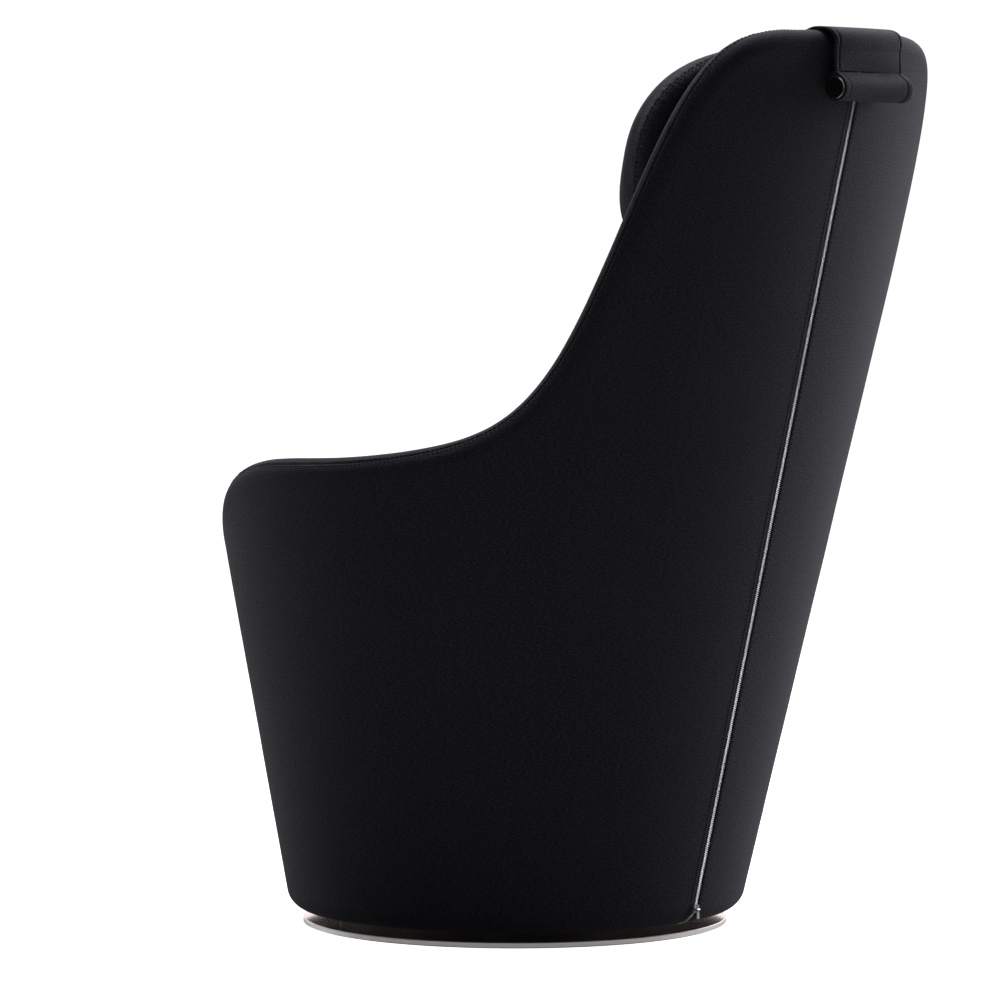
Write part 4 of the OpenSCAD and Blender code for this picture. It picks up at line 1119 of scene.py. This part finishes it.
class CHAIR_OT_seat_cushion(bpy.types.Operator):
    """Builds the loose round seat cushion, stuffed between its sewn edges."""

    bl_idname = "chair.seat_cushion"
    bl_label = "Seat Cushion"

    def execute(self, context):
        s, c, seam = context.scene.chair_shell, context.scene.chair_cushion, context.scene.chair_seams
        start = CUSHION_START
        outline, seams, centre = cushion_outline(start, s, c)
        turn = np.radians(np.arange(0, 360, 2.5))

        def ring(r, z):
            return np.stack([r * np.cos(turn), centre + r * np.sin(turn), np.full_like(turn, z)], -1)

        piece = closed_rings("seat_cushion", [ring(r, z) for r, z in outline])

        def pinned(co):
            away = np.hypot(co[:, 0], co[:, 1] - centre)
            held = co[:, 2] < s.deck_z + CUSHION_LIFT + start + 0.004
            for r, z in seams:
                held |= np.hypot(away - (r - start * 0.6), co[:, 2] - z) < CUSHION_HOLD
            return held

        stuff(piece, pinned, c.puff)
        co = points_of(piece)
        keep_inside(co, 0.0012, s)
        co[:, 2] = np.maximum(co[:, 2], s.deck_z + CUSHION_LIFT)
        move_points(piece, co)
        press_seams(piece, [closed_line(ring(r, z)) for r, z in seams], seam)

        def pairs(q, n):
            a = np.arctan2(q[:, 0], q[:, 1] - centre)
            flat = (np.abs(n[:, 2]) > 0.6)[:, None]
            return np.where(flat, q[:, :2], np.stack([a * WEAVE_R, q[:, 2]], -1))

        lay_thread_uv(piece, pairs)
        piece.data.materials.append(ribbed_cloth(context))
        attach(piece, "chair")
        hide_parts("seat_cushion_foam", "seat_cushion_cover", "seat_cushion_base_cloth")
        (low_r, low_z), (r, z) = seams
        lines = [ring(low_r + 0.004, low_z + seam.stitch_off), ring(r + 0.004, z - seam.stitch_off),
                 ring(r - seam.stitch_off, z + 0.006)]
        rows = [on_cloth(piece, closed_line(line), seam.stitch_r * STITCH_RISE) for line in lines]
        sew("seat_cushion_stitches", rows, "chair", context)
        return {"FINISHED"}


def head_point(turn, size, depth, o, s, h):
    """Points of the headrest's skin, o metres inside it."""
    power = np.where(np.sin(turn) > 0, h.square_top, h.square)
    oblong = 1 / (np.abs(np.cos(turn)) ** power + np.abs(np.sin(turn)) ** power) ** (1 / power)
    z = h.middle_z + size * oblong * (h.half_h - o) * np.sin(turn)
    r = shell_radius(h.middle_z, s) - wall(h.middle_z, s) - h.gap
    a = np.degrees(size * oblong * (h.half_w - o) * np.cos(turn) / r)
    thick = h.thick * (1 + h.swell * (h.middle_z - z) / h.half_h) - 2 * o
    return spot(a, z, wall(z, s) + h.gap + o + depth * thick, s)


class CHAIR_OT_headrest(bpy.types.Operator):
    """Builds the headrest: two panels and a side band, stuffed between their seams."""

    bl_idname = "chair.headrest"
    bl_label = "Headrest"

    def execute(self, context):
        s, h, seam = context.scene.chair_shell, context.scene.chair_headrest, context.scene.chair_seams
        start = HEADREST_START
        turn = np.radians(np.arange(0, 360, 3))
        steps = smooth_steps(HEAD_STEPS, 78)[1:-1]
        rings = [head_point(turn, max(0.02, size), depth, start, s, h) for size, depth in steps]
        piece = closed_rings("headrest_cushion", rings)
        fine = np.radians(np.arange(0, 360, 1.0))
        size, depth = HEAD_STEPS[HEAD_SEAM]
        tree = search_tree(head_point(fine, size, depth, start, s, h))

        def pinned(co):
            near = np.array([tree.find(Vector(q))[2] for q in co]) < HEADREST_HOLD
            off = shell_radius(co[:, 2], s) - np.hypot(co[:, 0], co[:, 1] - s.cone_lean * co[:, 2])
            return near | (off < wall(co[:, 2], s) + h.gap + start + 0.003)

        stuff(piece, pinned, h.puff)
        co = points_of(piece) + normals_of(piece) * h.fill_out
        keep_inside(co, h.gap, s)
        move_points(piece, co)
        press_seams(piece, [closed_line(head_point(fine, size, depth, 0.0, s, h))], seam)
        middle = shell_radius(h.middle_z, s) - wall(h.middle_z, s) - h.gap

        def pairs(q, n):
            flat = from_centre(q, s)
            off = np.linalg.norm(flat, axis=1)
            out = flat / off[:, None]
            a = np.arctan2(flat[:, 0], flat[:, 1]) * middle
            n_off = np.abs(np.sum(n[:, :2] * out, -1))
            n_z = np.abs(n[:, 2])
            n_a = np.abs(n[:, 0] * out[:, 1] - n[:, 1] * out[:, 0])
            panel, top, end = [np.stack(pair, -1) for pair in ((a, q[:, 2]), (a, off), (off, q[:, 2]))]
            edge = np.where((n_z > n_a)[:, None], top, end)
            return np.where((n_off >= np.maximum(n_z, n_a))[:, None], panel, edge)

        lay_thread_uv(piece, pairs)
        piece.data.materials.append(ribbed_cloth(context))
        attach(piece, "headrest")
        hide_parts("headrest_foam", "headrest_front_cover", "headrest_rear_cover")
        rows = []
        for aside in (-seam.stitch_off, seam.stitch_off):
            line = closed_line(head_point(fine, size, depth + aside / h.thick, 0.0, s, h))
            rows.append(on_cloth(piece, line, seam.stitch_r * STITCH_RISE))
        sew("headrest_stitches", rows, "headrest", context)
        return {"FINISHED"}


# Strap and counterweight


def crest_point(x, o, t, s, strap):
    """Points over the top of the back, o metres outside the cover, at t degrees from the crest.

    On the outer side, where t is below 0, the strap bends more sharply and stands off the back.
    """
    c, n, power = math.cos(math.radians(t)), math.sin(math.radians(t)), strap.bend
    size, stand = 1.0, 0.0
    if t < 0:
        size = (abs(c) ** power + abs(n) ** power) ** (-1 / power)
        stand = strap.stand
    crest_r = s.wall_top / 2
    z = s.back_h - crest_r + size * (crest_r + o) * c
    off = crest_r + size * (crest_r + o + stand) * n
    return beside_middle(x, z, shell_radius(z, s) - off, s)


def roll_axis(s, strap):
    """The counterweight's axis: how far back and how high it hangs."""
    tilt = math.atan(s.cone_lean + s.cone_slope)
    reach = strap.sleeve_r + strap.roll_gap
    face_z = strap.roll_z + reach * math.sin(tilt)
    return back_y(face_z, s) + reach * math.cos(tilt), strap.roll_z


def strap_steps(part, s, strap, h):
    """A rule for each step along a part of the strap. It gives points from their place across and in it."""
    mid = strap.gap + strap.thick / 2
    crest_z = s.back_h - s.wall_top / 2
    if part == "over":
        return [lambda x, o, t=t: crest_point(x, mid + o, t, s, strap) for t in np.arange(90, -90.1, -5)]
    if part == "front":
        return [lambda x, o, z=z: beside_middle(x, z, shell_radius(z, s) - wall(z, s) - mid - o, s)
                for z in np.linspace(crest_z, h.middle_z + h.half_h * 0.35, 22)]
    y, z = roll_axis(s, strap)
    low = z + strap.neck_h + 0.0006

    def behind(x, o, f):
        head = crest_point(x, mid + o, -90, s, strap)
        foot = np.stack([x, y + strap.neck_out - strap.thick / 2 + o, low + 0 * x], -1)
        ease = f * f * (1.5 - 0.5 * f)
        return np.stack([x, head[:, 1] * (1 - ease) + foot[:, 1] * ease,
                         head[:, 2] * (1 - f) + foot[:, 2] * f], -1)

    return [lambda x, o, f=f: behind(x, o, f) for f in (*np.linspace(0, 0.93, 14), 0.97, 1.0)]


def strap_section(strap):
    """The strap's cross-section as (across, out), with folded edges and the dents of two sewn rows."""
    r, half = strap.thick / 2, strap.width / 2
    flat = np.concatenate([np.linspace(-half + r, -half + 0.012, 18),
                           np.linspace(-half + 0.015, half - 0.015, 26),
                           np.linspace(half - 0.012, half - r, 18)])
    dent = 0.0009 * hump(np.abs(flat), half - strap.edge_stitch, 0.0011)
    turn = np.radians(np.arange(20, 161, 20))
    right = np.stack([half - r + r * np.sin(turn), r * np.cos(turn)], -1)
    outer = np.stack([flat, r - dent], -1)
    inner = np.stack([flat[::-1], -r + dent[::-1] * 0.5], -1)
    return np.concatenate([outer, right, inner, -right])


def strap_part(context, name, part, run_start=0.0):
    """One part of the strap, as a closed piece. The weave runs on from run_start."""
    g = context.scene
    section = strap_section(g.chair_strap)
    steps = strap_steps(part, g.chair_shell, g.chair_strap, g.chair_headrest)
    p = np.array([rule(section[:, 0], section[:, 1]) for rule in steps])
    p[..., 1] += 0.00035 * cloth_noise(p, 22.0, 11)
    count, rim = p.shape[:2]
    run = run_start + run_along(p.mean(1))
    faces = grid_faces(count, rim, ring_v=True)
    faces += [tuple(range(rim)), tuple(range(count * rim - 1, (count - 1) * rim - 1, -1))]
    piece = new_mesh(name, p.reshape(-1, 3), faces, grid_uv(section[None, :, 0], run[:, None]))
    tidy_mesh(piece)
    piece.data.materials.append(ribbed_cloth(context))
    rows = []
    for side in (-1, 1):
        x = np.array([side * (g.chair_strap.width / 2 - g.chair_strap.edge_stitch)])
        top = g.chair_strap.thick / 2 - 0.0004
        line = np.array([rule(x, np.array([top]))[0] for rule in steps])
        under = np.array([rule(x, np.array([top - 0.001]))[0] for rule in steps])
        rows.append((line, (line - under) / 0.001))
    return piece, rows, run[-1]


class CHAIR_OT_strap(bpy.types.Operator):
    """Builds the strap: down behind the headrest, over the back, and down to the counterweight."""

    bl_idname = "chair.strap"
    bl_label = "Strap"

    def execute(self, context):
        over, over_rows, run = strap_part(context, "strap_over_back", "over")
        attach(over, "chair")
        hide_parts("strap_saddle")
        sew("strap_over_back_stitches", over_rows, "chair", context)
        down, _, _ = strap_part(context, "strap_behind_headrest", "front")
        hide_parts("strap_front")
        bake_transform(down)
        hang, hang_rows, _ = strap_part(context, "strap_to_counterweight", "rear", run)
        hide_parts("strap_rear")
        stitches = sew("strap_to_counterweight_stitches", hang_rows, None, context)
        for piece in (hang, stitches):
            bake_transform(piece)
        return {"FINISHED"}


class CHAIR_OT_counterweight(bpy.types.Operator):
    """Builds the cloth sleeve of the counterweight and finishes its rod, discs and rings."""

    bl_idname = "chair.counterweight"
    bl_label = "Counterweight"

    def execute(self, context):
        s, strap = context.scene.chair_shell, context.scene.chair_strap
        y, z = roll_axis(s, strap)
        half, r, hem = strap.sleeve_len / 2, strap.sleeve_r, strap.hem
        # the sleeve's section: round below, and running up into the sewn neck
        corners = [(strap.neck_out - strap.thick + 0.0003, strap.neck_h),
                   (strap.neck_out - 0.0004, strap.neck_h)]
        turn = np.radians(np.arange(0, 360, 4))
        reach = np.full(len(turn), r)
        for side, (cy, cz) in zip((-1, 1), corners):
            length, at = math.hypot(cy, cz), math.atan2(cy, cz)
            edge = at + side * math.acos(r / length)
            swing = (turn - at + math.pi) % (2 * math.pi) - math.pi
            inside = (swing * side >= 0) & (swing * side <= abs(edge - at))
            # the straight side from the neck's corner to where it touches the round
            reach = np.where(inside, r / np.cos(edge - turn), reach)
        low_at, high_at = [math.atan2(a, b) for a, b in corners]
        swing = (turn + math.pi) % (2 * math.pi) - math.pi
        reach = np.where((swing >= low_at) & (swing <= high_at), strap.neck_h / np.cos(swing), reach)
        reach = (np.roll(reach, 1) + 2 * reach + np.roll(reach, -1)) / 4
        xs = np.concatenate([[0, 0.0004, 0.0013], np.linspace(0.003, hem - 0.002, 4),
                             hem + np.array([-0.0013, -0.0006, 0, 0.0006, 0.0013, 0.0025]),
                             np.linspace(hem + 0.005, half, 14)])
        dip = np.interp(xs, [0, 0.0004, 0.0013, hem - 0.0015, hem, hem + 0.0015, half],
                        [0.0011, 0.0003, 0.0, 0.0, 0.0009, 0.0004, 0.0004])
        x = np.concatenate([xs - half, (half - xs)[::-1][1:]])
        dip = np.concatenate([dip, dip[::-1][1:]])
        loop_x = np.concatenate([x, x[::-1]])
        wave = 0.00025 * np.sin(2 * turn)[:, None] * np.sin(x * 70)[None, :]
        bore = np.full((len(turn), len(x)), SLEEVE_BORE)
        radius = np.concatenate([reach[:, None] - dip[None, :] + wave, bore], 1)
        out, up = np.sin(turn)[:, None], np.cos(turn)[:, None]
        p = np.stack(np.broadcast_arrays(loop_x[None, :], y + radius * out, z + radius * up), -1)
        faces = grid_faces(len(turn), len(loop_x), True, True)
        piece = new_mesh("counterweight_sleeve", p.reshape(-1, 3), faces,
                         grid_uv(loop_x[None, :], turn[:, None] * r))
        tidy_mesh(piece)
        piece.data.materials.append(ribbed_cloth(context))
        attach(piece, "counterweight")
        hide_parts("roll_sleeve")
        rows = []
        normals = np.stack([np.zeros(len(turn)), np.sin(turn), np.cos(turn)], -1)
        for at in (hem - half, half - hem):
            line = np.array([at, y, z]) + (reach - 0.0007)[:, None] * normals
            rows.append((closed_line(line), closed_line(normals)))
        # the seam that closes the sleeve on the strap
        across = np.linspace(-strap.width / 2 + 0.004, strap.width / 2 - 0.004, 40)
        seam = [y + strap.neck_out + 0.0001, z + strap.neck_h - 0.0016]
        line = np.column_stack([across, np.tile(seam, (40, 1))])
        rows.append((line, np.tile([0.0, 1.0, 0.2], (40, 1))))
        sew("sleeve_stitches", rows, "counterweight", context)
        f = context.scene.chair_finish
        paint_nodes(steel_finish(context), "counterweight_rod")
        paint_nodes(plastic_finish("gloss_black", (0.006, 0.006, 0.007), 0.12, 0.02, 0.6), "roll_cap_left",
                    "roll_cap_right")
        paint_nodes(metal_finish("bright_ring", f.ring, 0.2), "roll_ring_left", "roll_ring_right")
        return {"FINISHED"}


# Zip


def zip_line(s, z, depth=0.0):
    """Points along the zip, from under the tub's edge up the back, depth metres behind the cover's face."""
    tilt = math.atan(s.cone_lean + s.cone_slope)
    off, r = depth / math.cos(tilt), s.bottom_round
    low = s.underside_z + r
    points = []
    for t in np.arange(z.low_turn, 0, -math.radians(1.5)):
        h = low - (r - off) * math.sin(t)
        points.append((0, back_y(h, s) - r + (r - off) * math.cos(t), h))
    for h in np.linspace(low, s.back_h - s.wall_top / 2 - TEETH_END, 120):
        points.append((0, back_y(h, s) - off, h))
    return np.array(points)


def bevelled_box(size, bevel):
    """Points and faces of a box with cut edges, in its own frame."""
    x, y, z = [v / 2 for v in size]
    b = min(bevel, 0.45 * min(size))
    points = []
    for k, (sx, sy) in enumerate(((x - b, y - b), (x, y), (x, y), (x - b, y - b))):
        h = (-z, -z + b, z - b, z)[k]
        points += [(-sx, -sy, h), (sx, -sy, h), (sx, sy, h), (-sx, sy, h)]
    return np.array(points), [(3, 2, 1, 0), (12, 13, 14, 15)] + grid_faces(4, 4, ring_v=True)


class CHAIR_OT_zip(bpy.types.Operator):
    """Builds the zip's interlocked teeth and woven tapes, and finishes its stops."""

    bl_idname = "chair.zip"
    bl_label = "Zip"

    def execute(self, context):
        s, z = context.scene.chair_shell, context.scene.chair_zip
        points, way, _ = resample(zip_line(s, z), z.tooth_pitch / 2)
        out = np.cross(way, np.array([-1.0, 0, 0]))
        out = np.where(out[:, 1:2] > 0, out, -out)
        side = np.array([1.0, 0, 0])
        half = z.teeth_w / 2
        shape, one = bevelled_box((half + 0.0007, z.chain_out + z.chain_in, z.tooth_h), 0.00025)
        middle = (z.chain_out - z.chain_in) / 2
        teeth_points, faces = [], []
        for k, (p, w, o) in enumerate(zip(points, way, out)):
            hand = 1 if k % 2 else -1
            centre = p + side * hand * (half - 0.0007) / 2 + o * middle
            body = centre + shape[:, 0:1] * side + shape[:, 1:2] * o + shape[:, 2:3] * w
            # each tooth narrows and lowers towards its nose
            nose = (shape[:, 0] * hand < 0)[:, None]
            body = body - nose * o * 0.0002 * np.sign(shape[:, 1:2])
            teeth_points.append(body)
            faces += [tuple(q + k * len(shape) for q in f) for f in one]
        teeth = new_mesh("zip_teeth", np.concatenate(teeth_points), faces)
        tidy_mesh(teeth)
        teeth.data.polygons.foreach_set("use_smooth", [False] * len(teeth.data.polygons))
        teeth.data.materials.append(zip_finish(context))
        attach(teeth, "chair")
        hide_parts("zip_chain")
        self.tape(context, "zip_tape_left_cloth", 1, "zip_tape_left")
        self.tape(context, "zip_tape_right_cloth", -1, "zip_tape_right")
        paint_nodes(zip_finish(context), "zip_top_stop", "zip_bottom_stop")
        return {"FINISHED"}

    def tape(self, context, name, hand, node):
        """One tape, with the bead that the teeth clamp on its inner edge."""
        s, z = context.scene.chair_shell, context.scene.chair_zip
        xs = np.array([0.0006, 0.0010, 0.0016, 0.0022, 0.0030, 0.0042, 0.0051])
        bead = np.array([0.0, 0.00015, 0.0001, -0.00005, 0, 0, 0])
        p = np.array([zip_line(s, z, z.chain_in + 0.0003 - rise) + np.array([x * hand, 0, 0])
                      for x, rise in zip(xs, bead)])
        run = run_along(p[0])
        if hand < 0:
            p = p[::-1]
        piece = skin(name, p, 0.0005, np.stack(np.broadcast_arrays(p[..., 0], run[None, :]), -1))
        piece.data.materials.append(lining_finish(context))
        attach(piece, "chair")
        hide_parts(node)


class CHAIR_OT_zip_slider(bpy.types.Operator):
    """Builds the zip's slider and its hanging pull, with rounded edges."""

    bl_idname = "chair.zip_slider"
    bl_label = "Zip Slider"

    def execute(self, context):
        for node, body in (("zip_slider", "zip_slider_body"), ("zip_pull", "zip_pull_body")):
            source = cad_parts[node]
            data = source.data.copy()
            data.transform(source.matrix_world)
            piece = bpy.data.objects.new(node + "_rounded", data)
            context.scene.collection.objects.link(piece)
            data.materials.clear()
            data.materials.append(zip_finish(context))
            edge = piece.modifiers.new("rounded edges", "BEVEL")
            edge.width, edge.segments = SLIDER_ROUNDING, 2
            edge.limit_method, edge.angle_limit = "ANGLE", math.radians(50)
            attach(piece, body)
            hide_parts(node)
        return {"FINISHED"}


# Base, frame and linings


class CHAIR_OT_base_and_frame(bpy.types.Operator):
    """Finishes the base plate, the swivel, the steel frame and the boards."""

    bl_idname = "chair.base_and_frame"
    bl_label = "Base and Frame"

    def execute(self, context):
        paint_nodes(plate_finish(context), "base_plate")
        paint_nodes(plastic_finish("black_rubber", (0.008, 0.008, 0.008), 0.8, 0.6), "floor_pad")
        paint_nodes(steel_finish(context), "spindle", "base_screws", "retaining_washer", "retaining_screw",
                    "swivel_hub", "hub_bolts")
        paint_nodes(plastic_finish("moulded_nylon", (0.62, 0.60, 0.52), 0.45), "thrust_bearing", "hub_bush")
        paint = plastic_finish("frame_paint", (0.01, 0.01, 0.011), 0.4, 0.15, 0.2)
        paint_nodes(paint, "cross_rails", "base_ring", "seat_ring", "back_hoop")
        for side in ("left", "right"):
            paint_nodes(paint, f"back_post_{side}", f"rear_arm_post_{side}", f"front_arm_post_{side}",
                        f"arm_hoop_{side}")
        paint_nodes(board_finish(), "bottom_board", "seat_board")
        return {"FINISHED"}


def disc_place(node):
    """A round CAD node's middle, its radius, and the heights of its underside and top."""
    low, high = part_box(node)
    return ((low.x + high.x) / 2, (low.y + high.y) / 2), (high.x - low.x) / 2, low.z, high.z


class CHAIR_OT_linings(bpy.types.Operator):
    """Builds the dust cover under the tub and the cloth on the seat deck."""

    bl_idname = "chair.linings"
    bl_label = "Linings"

    def execute(self, context):
        centre, r, z, _ = disc_place("dust_cover")
        hole, t = HUB_HOLE, 0.0012
        profile = [(hole, z + t), (hole, z + 0.0002), (hole + 0.002, z), (hole + 0.008, z),
                   (hole + 0.009, z + 0.0003)]
        profile += [(hole + 0.009 + (r - 0.018 - hole) * k, z + 0.0003 - 0.0001 * math.sin(math.pi * k))
                    for k in np.linspace(0.05, 0.95, 16)]
        profile += [(r - 0.009, z + 0.0003), (r - 0.008, z), (r - 0.001, z), (r, z + 0.0003), (r, z + t)]
        under = lathe("dust_cover_cloth", profile, 160, centre)
        under.data.materials.append(lining_finish(context))
        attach(under, "chair")
        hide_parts("dust_cover")
        cuts = context.scene.chair_cut
        centre, r, z, top = disc_place("deck_cloth")
        edge = r + cuts.deck_tuck
        profile = [(0.0005, z), (r * 0.5, z), (r, z), (edge, z + 0.0001), (edge, z + 0.0006), (r, z + 0.0007),
                   (r - 0.003, top)]
        profile += [(max(0.0005, (r - 0.003) * k), top) for k in np.linspace(0.95, 0, 12)]
        deck = lathe("deck_cloth_cover", profile, 128, centre)
        deck.data.materials.append(lining_finish(context))
        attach(deck, "chair")
        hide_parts("deck_cloth")
        return {"FINISHED"}


class CHAIR_OT_stage(bpy.types.Operator):
    """Sets the camera at the photograph's angle, on a pale floor in soft studio light."""

    bl_idname = "chair.stage"
    bl_label = "Stage"

    def execute(self, context):
        g = context.scene.chair_stage
        eye = Vector(g.eye)
        flat = Vector((eye.x, eye.y, 0)).normalized()
        ahead, right, up = -flat, Vector((-flat.y, flat.x, 0)), Vector((0, 0, 1))
        ahead, right = (ahead * math.cos(-g.yaw) + right * math.sin(-g.yaw),
                        right * math.cos(-g.yaw) - ahead * math.sin(-g.yaw))
        ahead, up = (ahead * math.cos(-g.pitch) + up * math.sin(-g.pitch),
                     up * math.cos(-g.pitch) - ahead * math.sin(-g.pitch))
        data = bpy.data.cameras.new("camera")
        data.lens, data.sensor_width = g.lens, 36.0
        data.clip_end = 60
        camera = bpy.data.objects.new("camera", data)
        context.scene.collection.objects.link(camera)
        camera.matrix_world = Matrix.Translation(eye) @ Matrix((right, up, -ahead)).transposed().to_4x4()
        context.scene.camera = camera
        w = g.floor
        floor = new_mesh("studio_floor", [(-w, -w, 0), (w, -w, 0), (w, w, 0), (-w, w, 0)], [(0, 1, 2, 3)])
        paper = Shader("white_floor")
        seen = paper.put("ShaderNodeLightPath").outputs["Is Camera Ray"]
        paper.set(Base_Color=(0.4, 0.4, 0.4, 1.0), Roughness=0.9, Emission_Color=(1, 1, 1, 1),
                  Emission_Strength=paper.times(seen, g.glow))
        floor.data.materials.append(paper.data)
        # each light's name, its place to the right, away from the camera and up, its size and its power
        for name, aside, beyond, height, size, power in (
                ("key_light", 2.6, 1.3, 1.6, 2.0, g.key), ("top_light", 0.2, 0.9, 3.2, 2.2, g.key * 1.2),
                ("fill_light", -2.5, 1.5, 0.4, 1.6, g.fill)):
            self.light(context, name, right * aside - flat * beyond + Vector((0, 0, height)), size, power)
        world = Shader("studio", "worlds", "Background")
        path = world.put("ShaderNodeLightPath")
        strength = world.spread(path.outputs["Is Glossy Ray"], 0, 1, g.ambient, g.shine)
        strength = world.spread(path.outputs["Is Camera Ray"], 0, 1, strength, g.glow)
        world.set(Color=(1, 1, 1, 1), Strength=strength)
        context.scene.world = world.data
        context.scene.view_settings.view_transform = "Standard"
        return {"FINISHED"}

    def light(self, context, name, place, size, power):
        """A square soft light that faces the chair."""
        data = bpy.data.lights.new(name, "AREA")
        data.shape, data.size, data.energy = "SQUARE", size, power
        lamp = bpy.data.objects.new(name, data)
        context.scene.collection.objects.link(lamp)
        lamp.location = place
        lamp.rotation_euler = (Vector((0, 0, 0.5)) - place).to_track_quat("-Z", "Y").to_euler()


OPERATORS = (
    CHAIR_OT_stage,
    CHAIR_OT_outer_cover,
    CHAIR_OT_inner_cover,
    CHAIR_OT_seat_cushion,
    CHAIR_OT_headrest,
    CHAIR_OT_strap,
    CHAIR_OT_counterweight,
    CHAIR_OT_zip,
    CHAIR_OT_zip_slider,
    CHAIR_OT_base_and_frame,
    CHAIR_OT_linings,
)


class CHAIR_PT_panel(bpy.types.Panel):
    """Lists the chair's sizes, finishes and pieces in the sidebar."""

    bl_idname = "CHAIR_PT_panel"
    bl_label = "Lounge Chair"
    bl_space_type = "VIEW_3D"
    bl_region_type = "UI"
    bl_category = "Chair"

    def draw(self, context):
        for name, group in GROUPS.items():
            box = self.layout.box()
            box.label(text=group.__doc__.rstrip("."))
            for key in group.__annotations__:
                box.prop(getattr(context.scene, name), key)
        for operator in OPERATORS:
            self.layout.operator(operator.bl_idname)


def register():
    """Adds the sizes, operators and panel to Blender."""
    for group in GROUPS.values():
        bpy.utils.register_class(group)
    for name, group in GROUPS.items():
        setattr(bpy.types.Scene, name, bpy.props.PointerProperty(type=group))
    for operator in OPERATORS:
        bpy.utils.register_class(operator)
    bpy.utils.register_class(CHAIR_PT_panel)


def unregister():
    """Takes them out again."""
    bpy.utils.unregister_class(CHAIR_PT_panel)
    for operator in reversed(OPERATORS):
        bpy.utils.unregister_class(operator)
    for name in GROUPS:
        delattr(bpy.types.Scene, name)
    for group in reversed(list(GROUPS.values())):
        bpy.utils.unregister_class(group)


def main():
    """Builds everything."""
    register()
    for operator in OPERATORS:
        family, name = operator.bl_idname.split(".")
        getattr(getattr(bpy.ops, family), name)()


if __name__ == "__main__":
    main()
